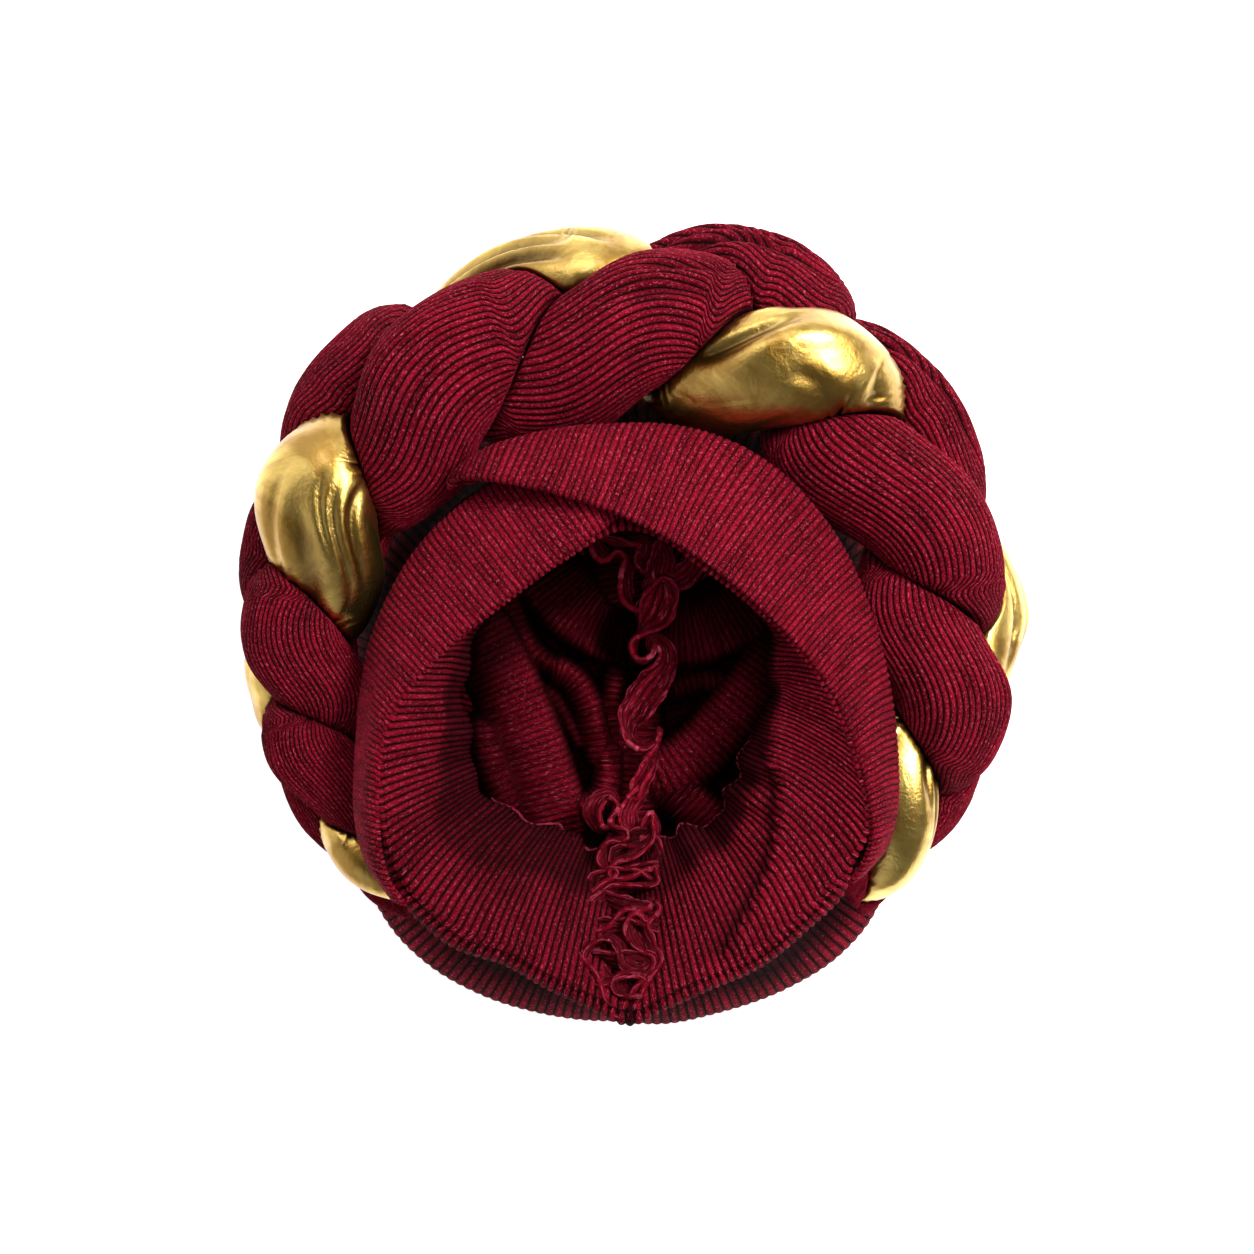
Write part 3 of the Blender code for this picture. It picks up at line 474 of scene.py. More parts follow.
def lay_mesh(name, points, quads, triangles, spots, finish):
    """An object from points in millimetres, its faces and each point's spot on the cloth.

    The spot is kept as the attributes cloth_u, counted in ribs, and cloth_v, in
    millimetres along the rib; sunk is 1 in a groove and 0 on a crest, and hollow is 1 deep
    in a crevice between folds or rolls and 0 in the open. Both darken the colour as painted
    shade. Where the body that the faces close is inside out, they are all reversed first."""
    fans = np.concatenate([quads[:, [0, 1, 2]], quads[:, [0, 2, 3]], triangles])
    a, b, c = (points[fans[:, corner]] for corner in range(3))
    if (a * np.cross(b, c)).sum() < 0:
        quads, triangles = quads[:, ::-1], triangles[:, ::-1]
    mesh = bpy.data.meshes.new(name)
    faces = (quads, triangles)
    corners = np.concatenate([part.ravel() for part in faces]).astype(np.int32)
    sizes = np.concatenate([np.full(len(part), part.shape[1]) for part in faces]).astype(np.int32)
    mesh.vertices.add(len(points))
    mesh.vertices.foreach_set("co", (points * MM).astype(np.float32).ravel())
    mesh.loops.add(len(corners))
    mesh.loops.foreach_set("vertex_index", corners)
    mesh.polygons.add(len(sizes))
    mesh.polygons.foreach_set("loop_start", np.concatenate([[0], np.cumsum(sizes)[:-1]]).astype(np.int32))
    for column, label in enumerate(("cloth_u", "cloth_v", "sunk", "hollow")):
        layer = mesh.attributes.new(label, "FLOAT", "POINT")
        layer.data.foreach_set("value", np.ascontiguousarray(spots[:, column], np.float32))
    mesh.update(calc_edges=True)
    mesh.validate()
    mesh.shade_smooth()
    mesh.materials.append(get_look(finish))
    thing = bpy.data.objects.new(name, mesh)
    bpy.context.scene.collection.objects.link(thing)
    return thing


def roll_mesh(name, grid, spots, finish):
    """A closed tube from a grid of rings, one row a ring, with both ends drawn to a point."""
    rows, columns = grid.shape[:2]
    i, j = (part.ravel() for part in np.meshgrid(np.arange(rows - 1), np.arange(columns), indexing="ij"))
    k = (j + 1) % columns
    quads = np.stack([i * columns + j, (i + 1) * columns + j, (i + 1) * columns + k, i * columns + k], -1)
    j = np.arange(columns)
    k = (j + 1) % columns
    last = (rows - 1) * columns
    ends = np.full(columns, rows * columns)
    triangles = np.concatenate([np.stack([j, k, ends], -1), np.stack([last + k, last + j, ends + 1], -1)])
    points = np.concatenate([grid.reshape(-1, 3), grid[[0, -1]].mean(1)])
    spots = np.concatenate([spots.reshape(-1, 4), spots[[0, -1]].mean(1)])
    return lay_mesh(name, points, quads, triangles, spots, finish)


def cloth_mesh(name, grid, thick, spots, finish, round_rows=False, back=None):
    """A closed wall of cloth: the grid moved half the thickness to both sides along its
    normals, joined by strips round its open edges. back gives the far side its own grid."""
    rows, columns = grid.shape[:2]
    half = grid_normals(grid, round_rows) * np.broadcast_to(thick, grid.shape[:2])[..., None] / 2
    back = grid - half if back is None else back
    bands = np.arange(rows if round_rows else rows - 1)
    i, j = (part.ravel() for part in np.meshgrid(bands, np.arange(columns - 1), indexing="ij"))
    n = (i + 1) % rows
    quads = np.stack([i * columns + j, n * columns + j, n * columns + j + 1, i * columns + j + 1], -1)
    count = rows * columns
    parts = [quads, quads[:, ::-1] + count]
    first, after = bands * columns, (bands + 1) % rows * columns
    parts.append(np.stack([after, first, first + count, after + count], -1))
    first, after = first + columns - 1, after + columns - 1
    parts.append(np.stack([first, after, after + count, first + count], -1))
    if not round_rows:
        j = np.arange(columns - 1)
        parts.append(np.stack([j, j + 1, j + 1 + count, j + count], -1))
        j = j + (rows - 1) * columns
        parts.append(np.stack([j + 1, j, j + count, j + 1 + count], -1))
    points = np.concatenate([(grid + half).reshape(-1, 3), back.reshape(-1, 3)])
    spots = np.concatenate([spots.reshape(-1, 4)] * 2)
    return lay_mesh(name, points, np.concatenate(parts), np.zeros((0, 3), int), spots, finish)


def wear(thing, *nodes, slot="wine_knit"):
    """The piece moves with the one body and stands for CAD nodes; slot is not used."""
    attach(thing, "root")
    if nodes:
        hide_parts(*nodes)


def lay_thread(name, path, radius):
    """A thin bare thread about a path: circles in the planes across it."""
    ahead = unit(np.gradient(path, axis=0))
    aside = unit(np.cross(ahead, np.array([0.13, 0.21, 1.0])))
    over = np.cross(ahead, aside)
    turn = np.linspace(0, TAU, THREAD_SIDES, endpoint=False)[None, :, None]
    rings = path[:, None] + radius * (aside[:, None] * np.cos(turn) + over[:, None] * np.sin(turn))
    along = run_length(rings.mean(1))[:, None]
    spots = spots_of(along / THREAD_SCALE, np.arange(THREAD_SIDES), 0.0, 0.0)
    wear(roll_mesh(name, rings, spots, "wine thread"))


def strand_centre(lobe, strand, size):
    """Centre of a strand in the plait's section: a figure of eight, a third of a turn
    on from the strand before it."""
    turn = math.pi / 2 + (lobe - strand) * TAU / 3
    return np.stack([REACH_WIDE * size * np.sin(turn), -REACH_DEEP * size * np.sin(2 * turn)], -1)


def strand_reach(azimuth, strand, around):
    """Distance from the strand's centre to its surface for section angles around[row], and
    the share that neighbours take off it: a slanted round, and the plane half way to each
    neighbour, joined by a soft minimum."""
    ring, size, lobe = through(PLAIT, azimuth)[:, [0, 2, 4]].T
    radius = ROLL_RADIUS * size[:, None] * through(FULLNESS, azimuth)
    centre = [strand_centre(lobe, other, size) for other in range(3)]
    ahead = through(PLAIT, azimuth - TRAVEL_STEP)
    travel = strand_centre(ahead[:, 4], strand, ahead[:, 2]) - centre[strand]
    travel = travel / (ring * math.radians(TRAVEL_STEP))[:, None]
    lean = np.linalg.norm(travel, axis=-1)[:, None]
    ray = round_of(around)
    ahead_part = (ray * (travel / lean)[:, None]).sum(-1) ** 2
    free = ahead_part / (1 + lean ** 2) + 1 - ahead_part
    alone = radius[:, strand][:, None] / np.sqrt(free)
    reach = alone ** -CELL_SOFTNESS
    for other in range(3):
        if other == strand:
            continue
        apart = centre[other] - centre[strand]
        distance = np.linalg.norm(apart, axis=-1)
        toward = (ray * (apart / distance[:, None])[:, None]).sum(-1)
        share = (distance ** 2 + radius[:, strand] ** 2 - radius[:, other] ** 2) / (2 * distance)
        wall = np.maximum(share - STRAND_GAP / 2, WALL_LEAST)[:, None] / np.maximum(toward, TINY)
        reach = reach + np.where(toward > TINY, wall ** -CELL_SOFTNESS, 0.0)
    reach = reach ** (-1 / CELL_SOFTNESS)
    return reach, 1.0 - reach / alone


def strand_swell(azimuth, strand, around, least=0.0):
    """Swells and creases of one strand: bells across the section that follow a slanting
    line along the roll and fade out at both of its ends. least leaves narrower ones out."""
    total = np.zeros_like(around)
    turn = np.degrees(around)
    for owner, middle, span, angle, wide, drift, high in SWELLS:
        if owner == strand and wide >= least:
            away = (azimuth - middle)[:, None]
            aside = (turn - angle - drift * away + 180.0) % 360.0 - 180.0
            fade = ease(1.5 * (1.0 - np.abs(away) / span))
            total = total + high * fade * np.exp(-(aside / wide) ** 2 * SWELL_SHARPNESS)
    return total


def from_section(ring, high, tilt, wide, deep):
    """Radius and height of a place in the plait's tilted section."""
    return (ring - wide * np.sin(tilt) + deep * np.cos(tilt),
            high + wide * np.cos(tilt) + deep * np.sin(tilt))


def strand_rings(azimuth, strand, ribs, depth):
    """Rings of one roll and their spots on the cloth. The points of a ring are spaced
    evenly by walked distance, so that the ribs keep their pitch as the roll changes.
    Where neighbours press on it, swells vanish and ribs lie under the surface."""
    ring, high, size, tilt, lobe = through(PLAIT, azimuth).T[..., None]
    row = azimuth[:, None]
    coarse = np.linspace(0, TAU, 361)
    dense = np.repeat(coarse[None], len(azimuth), 0)
    far = strand_swell(azimuth, strand, dense, SWELL_LEAST) * size
    far = strand_reach(azimuth, strand, dense)[0] + far
    walked = run_length(far[..., None] * round_of(dense), 1)
    places = np.arange(ribs * RIB_STEPS) / (ribs * RIB_STEPS)
    drift = RIB_DRIFT * wander(azimuth * 0.06, 0.0, 1.0 + strand)
    around = np.array([np.interp((places + shift) % 1.0 * length[-1], length, coarse)
                       for length, shift in zip(walked, drift)])
    swell = strand_swell(azimuth, strand, around)
    reach, pressed = strand_reach(azimuth, strand, around)
    free = 1.0 - ease(pressed, *PRESSED_SPAN)
    reach = reach + np.minimum(swell, swell * free) * size
    # Painted shade in the crevices between rolls and along creases, kept as the hollow value
    creased = CREASE_SHADE * np.clip(-swell, 0.0, CREASE_MOST)
    hollow = np.clip(ease(pressed, *CREVICE_SPAN) + creased, 0.0, 1.0)
    phase = places[None] * ribs
    uneven = wander(row * 0.16, phase * 0.9, 3.0 + strand)
    wave = rib_wave(phase)
    fine = depth * np.sqrt(size)
    group = wander(phase * 0.9, row * 0.05, 5.0 + strand)
    rough = fine * (wave - RIB_FREE) * (1.0 + RIB_UNEVEN * uneven + RIB_UNEVEN * group)
    rough = rough + RIB_SHIFT * uneven + GROUP_SHIFT * group
    reach = reach + free * rough + (1.0 - free) * fine * (wave - RIB_PRESSED)
    centre = strand_centre(lobe[:, 0], strand, size[:, 0])[:, None]
    spots = centre + reach[..., None] * round_of(around)
    out, up = from_section(ring, high, np.radians(tilt), spots[..., 0], spots[..., 1])
    points = turned(out, up, row, 0.0)
    return points, spots_of(phase, run_length(points.mean(1))[:, None], 1.0 - wave, hollow)


def clear_of_plait(points, margin):
    """Moves points that lie in the plait's hull outward from its middle line to the hull:
    a superellipse in width and depth round the plait's ring."""
    azimuth = (np.degrees(np.arctan2(points[..., 1], points[..., 0])) + 90) % 360 - 90
    first, last = PLAIT[-1][0], PLAIT[0][0]
    past = np.maximum(np.maximum(azimuth - last, first - azimuth), 0.0)
    ring, high, size, tilt = np.moveaxis(through(PLAIT, np.clip(azimuth, first, last)), -1, 0)[:4]
    size = size * (1.0 - ease(past / TAIL_FADE))
    tilt = np.radians(tilt)
    out = np.hypot(points[..., 0], points[..., 1])
    off, rise = out - ring, points[..., 2] - high
    wide = rise * np.cos(tilt) - off * np.sin(tilt)
    deep = off * np.cos(tilt) + rise * np.sin(tilt)
    hull = ((np.abs(wide) / (HULL_WIDE * size + margin)) ** HULL_POWER
            + (np.abs(deep) / (HULL_DEEP * size + margin)) ** HULL_POWER) ** (1 / HULL_POWER)
    push = (1.0 + np.maximum(hull, 0.05) ** -PUSH_POWER) ** (1 / PUSH_POWER)
    new_out, new_up = from_section(ring, high, tilt, wide * push, deep * push)
    scale = new_out / np.maximum(out, TINY)
    return np.stack([points[..., 0] * scale, points[..., 1] * scale, new_up], -1)


def ring_ribs(stops):
    """Azimuth of each row of points round the cap, its place in ribs, and the rib wave at
    each of the stops down it."""
    count = np.arange(CAP_RIBS * RIB_STEPS)
    azimuth = SEAM_AT + 360.0 * (count + RIB_STEPS / 2) / (CAP_RIBS * RIB_STEPS)
    phase = count[:, None] / RIB_STEPS + 0.5
    return azimuth, phase, rib_wave(phase) * np.ones_like(stops)[None]


def cap_profile(azimuth, stops):
    """Radius and height of the cap's middle surface at places along its sections."""
    floor, girth, girth_z, neck, neck_z, lip, lip_z = through(CAP, azimuth, 360).T
    zero = np.zeros_like(floor)
    knee = floor + KNEE_OUT * (girth - floor)
    radii = np.stack([zero, 0.5 * floor, floor, knee, girth, neck, lip])
    heights = np.stack([zero, zero, zero, KNEE_UP * girth_z, girth_z, neck_z, lip_z])
    curve = through(np.column_stack([CAP_STOPS, radii, heights]), stops)
    count = len(azimuth)
    return curve[:, :count].T, np.maximum(curve[:, count:].T, 0.0)


def cap_wall_surface(azimuth, stops, seam):
    """Middle surface of the cap's wall from under the crown up to its lip, its seam at the
    back drawn in as a groove."""
    out, up = cap_profile(azimuth, stops)
    rise = ease(stops, *WALL_SPAN)[None]
    azimuth = azimuth[:, None]
    uneven = wander(azimuth * 0.13, stops[None] * 9, 2.0)
    out = out - SEAM_DEEP * seam * rise + WALL_WANDER * rise * uneven
    return clear_of_plait(turned(out, up + CAP_CLOTH / 2, azimuth), CAP_CLOTH / 2 + HULL_MARGIN)


def crown_folds(x, y):
    """Height of the crown's folds and the rib count along the fold that stands highest.

    A fold is a ridge along a bent crest, rounded off past its ends and with a width of its
    own on each side. Its ribs run across it, counted by the walked place on the crest, and
    the heights of crossing folds join by a soft maximum."""
    stops = np.linspace(-0.4, 1.4, 46)
    shares = np.stack([(1 - stops) ** 2, 2 * stops * (1 - stops), stops ** 2])
    total, ribs, best = np.zeros(x.shape), np.zeros(x.shape), np.full(x.shape, -1.0)
    spot = np.stack([x, y], -1)
    for number, (*corners, left, right, high) in enumerate(FOLDS):
        corners = np.reshape(corners, (3, 2))
        crest = sum(share[:, None] * corner for share, corner in zip(shares, corners))
        ahead = unit(np.gradient(crest, axis=0))
        length = run_length(crest)
        start, end = np.interp([0.0, 1.0], stops, length)
        near = np.hypot(x[..., None] - crest[:, 0], y[..., None] - crest[:, 1]).argmin(-1)
        off, ahead = spot - crest[near], ahead[near]
        place = length[near] + (off * ahead).sum(-1)
        side = ahead[..., 0] * off[..., 1] - ahead[..., 1] * off[..., 0]
        past = np.maximum(np.maximum(start - place, place - end), 0.0)
        far = np.hypot(side / np.where(side > 0, left, right), past / (0.6 * (left + right)))
        here = high * np.clip(1 - far ** 2, 0, 1) ** FOLD_POWER
        total = total + here ** FOLD_BLEND
        ribs = np.where(here > best, place / FOLD_RIB + number * 7.3, ribs)
        best = np.maximum(best, here)
    return total ** (1 / FOLD_BLEND) * ease(np.hypot(x, y), FLAT_RADIUS, FLAT_FADE - FLAT_RADIUS), ribs


def crown_surface():
    """Upper surface of the sunken crown and its spots on the cloth: a square grid drawn in
    to the outline of the cap's floor and lifted by the folds. It takes painted shade between
    folds, by how far it lies under a height that rises to the front, and near its edge."""
    x, y = np.meshgrid(np.arange(CROWN_LOW[0], CROWN_HIGH[0], CROWN_STEP),
                       np.arange(CROWN_LOW[1], CROWN_HIGH[1], CROWN_STEP), indexing="ij")
    rim = through(CAP, np.degrees(np.arctan2(y - HEAD_Y, x)) % 360, 360)[..., 0] - CROWN_INSET
    pull = np.minimum(1.0, rim / np.maximum(np.hypot(x, y - HEAD_Y), TINY))
    x, y = x * pull, HEAD_Y + (y - HEAD_Y) * pull
    reach = np.hypot(x, y - HEAD_Y)
    high, ribs = crown_folds(x, y)
    up = high * ease((rim - reach) / CROWN_FADE) + CAP_CLOTH / 2 + CROWN_LIFT
    up = up + CROWN_WANDER * wander(x * 0.3, y * 0.3, 6.0)
    tall = CROWN_TALL + CROWN_TALLER * ease(y, *TALLER_SPAN)
    hollow = ease((1.0 - high / (1.1 * tall)) / 0.72)
    hollow = np.maximum(hollow, CROWN_EDGE_SHADE * ease(reach, *CROWN_EDGE_SPAN))
    return np.stack([x, y, up], -1), spots_of(ribs, np.hypot(x, y) + 0.5 * up, 0.0, hollow)


def facing_crease(place, stops):
    """Degrees of azimuth from the crease on the facing's right side, positive toward the
    right, for a bent line from its free edge at one azimuth to its top at another."""
    line = CREASE_TOP + (CREASE_FREE - CREASE_TOP) * stops ** 1.3
    return (place - line + 150.0) % 360.0 - 150.0


def facing_surface(azimuth, stops):
    """Middle surface of the hem facing: lines from under the lip in and down to a wavy free
    edge, with a slant, shallow down to a knee and steep below it, with a valley at the seam
    and a crease on the right."""
    top, top_z, free, free_z, slant, knee = through(FACING, azimuth, 360).T[..., None]
    stops = stops[None]
    place = azimuth[:, None] + slant * stops
    low = ease(stops, *WAVY_SPAN)
    wave = wander(place * EDGE_WAVES * 0.016, stops * 2.0, 4.0)
    out = top + (free - top) * stops + EDGE_SWING * low * wave
    down = FACING_SHALLOW * np.minimum(stops / knee, 1.0) ** FACING_POWER
    down = down + (1.0 - FACING_SHALLOW) * np.clip((stops - knee) / (1.0 - knee), 0.0, 1.0)
    up = top_z + (free_z - top_z) * down
    up = up + EDGE_SWING * low * wander(place * EDGE_WAVES * 0.02, 1.0, 7.0)
    across = facing_crease(place, stops)
    crease = CREASE_DEEP * np.exp(-np.maximum(across, 0.0) / CREASE_SLOPE) * ease(across / 3.0 + 0.5)
    up = up + crease * ease(stops / 0.1)
    seam = np.radians(from_seam(azimuth))[:, None] * out
    up = up - VALLEY_DEEP * bell(seam, VALLEY_HALF) * ease(stops / 0.25)
    return turned(out, up, place)


def facing_painted_shade(azimuth, stops, grid):
    """Painted shade on the facing: a little more toward its free edge and on the left, more
    below its knee, and most along the crease and at the seam."""
    slant, knee = through(FACING, azimuth, 360)[:, 4:].T[..., None]
    azimuth, stops = azimuth[:, None], stops[None]
    across = np.minimum(facing_crease(azimuth + slant * stops, stops), 3.0)
    fold = sum(shade * bell(across, half) for shade, half in CREASE_SHADES) * ease(0.5 - across / 3.0)
    fold = fold * ease(stops / 0.12)
    left = ease(azimuth - SEAM_AT, *LEFT_SPAN)
    plain = 0.06 + 0.14 * stops + left * (0.20 + 0.06 * stops)
    steep = (0.55 - 0.2 * left) * ease((stops - knee) / 0.10 + 0.5)
    seam = np.radians(from_seam(azimuth)) * np.hypot(grid[..., 0], grid[..., 1] - HEAD_Y)
    valley = VALLEY_SHADE * bell(seam, VALLEY_SHADE_HALF) * ease(stops, *VALLEY_SPAN)
    seam = np.maximum(valley, STITCH_SHADE * bell(seam, STITCH_HALF))
    return np.maximum(np.maximum(plain + steep, 0.85 * fold), seam)


def rim_roll(azimuth, first):
    """The facing's top rolled outward over the cap's lip: arcs of a circle about the lip
    that end at the facing's first row, drawn in to that row where the bands cover the lip."""
    lip, lip_z = through(CAP, azimuth, 360)[:, 5:].T[..., None]
    shown = ease(azimuth % 360, *RIM_SPAN) * ease((RIM_END - azimuth % 360) / RIM_FADE)
    turn = np.radians(np.linspace(*RIM_ARC, RIM_STEPS))[None]
    points = turned(lip + RIM_RADIUS * np.cos(turn), lip_z - RIM_RADIUS + 0.2 + RIM_RADIUS * np.sin(turn),
                    azimuth[:, None])
    away = np.linspace(1.0, 0.0, RIM_STEPS, endpoint=False)[None, :, None]
    still = first + away * np.array([0.0, 0.0, 1.2])
    return still + (points - still) * shown[:, None, None]


def band_surface(table, along, across, margin):
    """Middle surface of a front band: straight lines from its inner to its outer edge,
    bulged upward by a half sine and rolled down at the inner edge."""
    edges = through(table, along)
    inner, outer = edges[..., :3], edges[..., 3:]
    points = inner + (outer - inner) * across[..., None]
    share = np.clip(np.linalg.norm(outer - inner, axis=-1) / BAND_WIDE, 0.0, 1.0)
    roll = BAND_ROLL * (1 - ease(across / ROLL_SHARE))
    points[..., 2] += share * (BAND_BULGE * np.sin(math.pi * across) - roll)
    return clear_of_plait(points, margin)


def band_rings(table, margin, pitch, depth, plain_from):
    """Rings round a band and their spots on the cloth: its top, a half round at the outer
    edge, its underside and a half round at the inner edge, with a rib every pitch along.
    From plain_from on, the ribs fade on the outer half, where the cloth turns down."""
    dense = np.linspace(0, 1, 400)
    walked = run_length(band_surface(table, dense, np.full(400, RIB_COUNT_AT), margin))
    ribs = int(walked[-1] / pitch)
    along = np.interp(np.linspace(0, walked[-1], ribs * RIB_STEPS + 1), walked, dense)
    arc = np.radians(np.linspace(90, -90, BAND_ARC_STEPS + 2)[1:-1])
    top, under = np.linspace(0, 1, BAND_TOP_STEPS), np.linspace(1, 0, BAND_UNDER_STEPS)
    flat = np.concatenate([top, np.ones(BAND_ARC_STEPS), under, np.zeros(BAND_ARC_STEPS)])
    side = np.concatenate([0 * top, np.cos(arc), 0 * under, -np.cos(arc)])
    lift = np.concatenate([1 + 0 * top, np.sin(arc), -1 + 0 * under, -np.sin(arc)])
    edges = through(table, along)
    wide = np.linalg.norm(edges[:, 3:] - edges[:, :3], axis=-1)[:, None]
    along = along[:, None]
    radius = np.minimum(BAND_CLOTH / 2 * (1.0 - TAIL_THINNER * ease(along, *TAIL_SPAN)), 0.45 * wide)
    across = (radius + flat[None] * (wide - 2 * radius) + radius * side[None]) / wide
    slanted = np.clip(along + BAND_LEAN * np.sin(math.pi * along) * across, 0.0, 1.0)
    points = band_surface(table, slanted, across, margin)
    wider = np.clip(across + 0.01, 0, 1)
    aside = band_surface(table, slanted, wider, margin) - points
    aside = aside / np.maximum(wider - across, TINY)[..., None]
    normal = unit(np.cross(aside, np.gradient(points, axis=0)))
    normal = np.where(normal[..., 2:].mean() > 0, normal, -normal)
    phase = np.arange(len(along))[:, None] / RIB_STEPS
    wave = rib_wave(phase)
    plain = PLAIN_SHARE * (ease(along, plain_from, PLAIN_FADE) * ease(across, *PLAIN_SPAN))
    fine = depth * (1.0 - plain) * (1.0 + 0.3 * wander(phase * 0.7, across * 5, 5.0))
    out = unit(normal * lift[None, :, None] + unit(aside) * side[None, :, None])
    points = points + normal * (radius * lift)[..., None] + out * (fine * (wave - RIB_FREE))[..., None]
    return points, spots_of(phase, across * wide, (1.0 - wave) * (1.0 - plain) * BAND_SUNK, 0.0)


def ribbon_surface(rows):
    """Middle surface of one ribbon of the seam: straight lines across a curve through its
    points, turned about the curve by the lean, with a shallow hollow and uneven edges."""
    rows = np.column_stack([np.arange(len(rows)), np.array(rows)])
    dense = np.linspace(0, len(rows) - 1, 40 * len(rows))
    walked = run_length(through(rows, dense)[:, :3])
    along = np.interp(np.arange(0.0, walked[-1], RIBBON_STEP), walked, dense)
    curve = through(rows, along)
    middle, wide, lean = curve[:, :3], curve[:, 3], np.radians(curve[:, 4])
    middle[:, 2] += RIBBON_RISE * ease(middle[:, 2], *RISE_SPAN) * ease((100.0 - middle[:, 2]) / 10.0)
    uneven = wander(along * 5.0, 0.0, len(rows))
    ahead = unit(np.gradient(middle, axis=0))
    aside = unit(np.cross(ahead, np.array([0.0, 0.0, 1.0])))
    over = np.cross(aside, ahead)
    lean = (RIBBON_LEANER * lean + RIBBON_TWIST * wander(along * 1.3, 1.0, 2.0 * len(rows)))[:, None]
    face = over * np.cos(lean) + aside * np.sin(lean)
    hollow = np.cross(ahead, face)
    across = np.linspace(-0.5, 0.5, RIBBON_ACROSS)
    reach = (RIBBON_WIDER * wide * (1.0 + RIBBON_UNEVEN * uneven))[:, None] * across[None]
    dip = (RIBBON_DIP * wide)[:, None] * (1.0 - 4.0 * across ** 2)[None]
    return middle[:, None] + face[:, None] * reach[..., None] + hollow[:, None] * dip[..., None]


def fill(tree, node, values):
    """Links or sets a node's inputs, by name or number."""
    for name, value in values.items():
        if isinstance(value, bpy.types.NodeSocket):
            tree.links.new(value, node.inputs[name])
        else:
            node.inputs[name].default_value = value
    return node


def add_node(tree, kind, values=None, **settings):
    """A node with its settings and its inputs filled."""
    node = tree.nodes.new(kind)
    for name, value in settings.items():
        setattr(node, name, value)
    return fill(tree, node, values or {})


def math_node(tree, operation, *values):
    """A Math node's result."""
    return add_node(tree, "ShaderNodeMath", dict(enumerate(values)), operation=operation).outputs[0]


def span_node(tree, value, low, high, to_low=0.0, to_high=1.0):
    """A Map Range node's result: low to high becomes to_low to to_high."""
    return add_node(tree, "ShaderNodeMapRange", {"Value": value, "From Min": low, "From Max": high,
                                                 "To Min": to_low, "To Max": to_high}).outputs[0]


def mix_node(tree, share, first, second):
    """Two colours mixed, the second by its share."""
    return add_node(tree, "ShaderNodeMix", {0: share, 6: first, 7: second}, data_type="RGBA").outputs[2]


def noise_node(tree, place, scale, detail, roughness=0.5, bend=0.0):
    """A Noise Texture node's value."""
    return add_node(tree, "ShaderNodeTexNoise", {
        "Vector": place, "Scale": scale, "Detail": detail, "Roughness": roughness,
        "Distortion": bend}).outputs["Fac"]


def bump_node(tree, height, strength, distance):
    """A Bump node's normal."""
    return add_node(tree, "ShaderNodeBump", {"Height": height, "Strength": strength,
                                             "Distance": distance}).outputs[0]


def own_value(tree, label):
    """A value that the piece keeps at each point."""
    return add_node(tree, "ShaderNodeAttribute", attribute_name=label).outputs["Fac"]


def tint(colour, share):
    """A colour dimmed to a share of itself."""
    return tuple(share * part for part in colour[:3]) + (1.0,)


def knit_grain_group():
    """Grain of rib knit: stitches across each rib, fibres along it, and each rib's own tone.

    Place is the cloth's place (ribs, millimetres). Height drives a bump, Shade goes from a
    dull to a full yarn, Speck marks the few bright fibres."""
    group = bpy.data.node_groups.new("Knit grain", "ShaderNodeTree")
    group.interface.new_socket("Place", in_out="INPUT", socket_type="NodeSocketVector")
    for label in ("Height", "Shade", "Speck"):
        group.interface.new_socket(label, in_out="OUTPUT", socket_type="NodeSocketFloat")
    place = group.nodes.new("NodeGroupInput").outputs["Place"]
    stitch, fibre, fleck, patch = (
        noise_node(group, add_node(group, "ShaderNodeVectorMath", {0: place, 1: (across, along, 0.0)},
                                   operation="MULTIPLY").outputs[0], 1.0, 2.0, bend=bend)
        for across, along, bend in GRAINS)
    u, v = add_node(group, "ShaderNodeSeparateXYZ", {0: place}).outputs[:2]
    number = math_node(group, "FLOOR", math_node(group, "ADD", u, 0.5))
    own = add_node(group, "ShaderNodeCombineXYZ", {0: math_node(group, "MULTIPLY", number, 7.31),
                                                   1: math_node(group, "MULTIPLY", v, 0.06)}).outputs[0]
    rib = noise_node(group, own, 1.0, 1.0)
    height = math_node(group, "MULTIPLY_ADD", stitch, 0.8, math_node(group, "MULTIPLY", fibre, 0.5))
    shade = math_node(group, "MULTIPLY", patch, PATCH_WEIGHT)
    for value, weight in zip((rib, stitch, fibre), GRAIN_WEIGHTS):
        shade = math_node(group, "MULTIPLY_ADD", value, weight, shade)
    fill(group, group.nodes.new("NodeGroupOutput"), {
        "Height": height, "Shade": span_node(group, shade, 0.80, 1.28),
        "Speck": span_node(group, math_node(group, "MULTIPLY", fleck, fibre), 0.29, 0.42)})
    return group


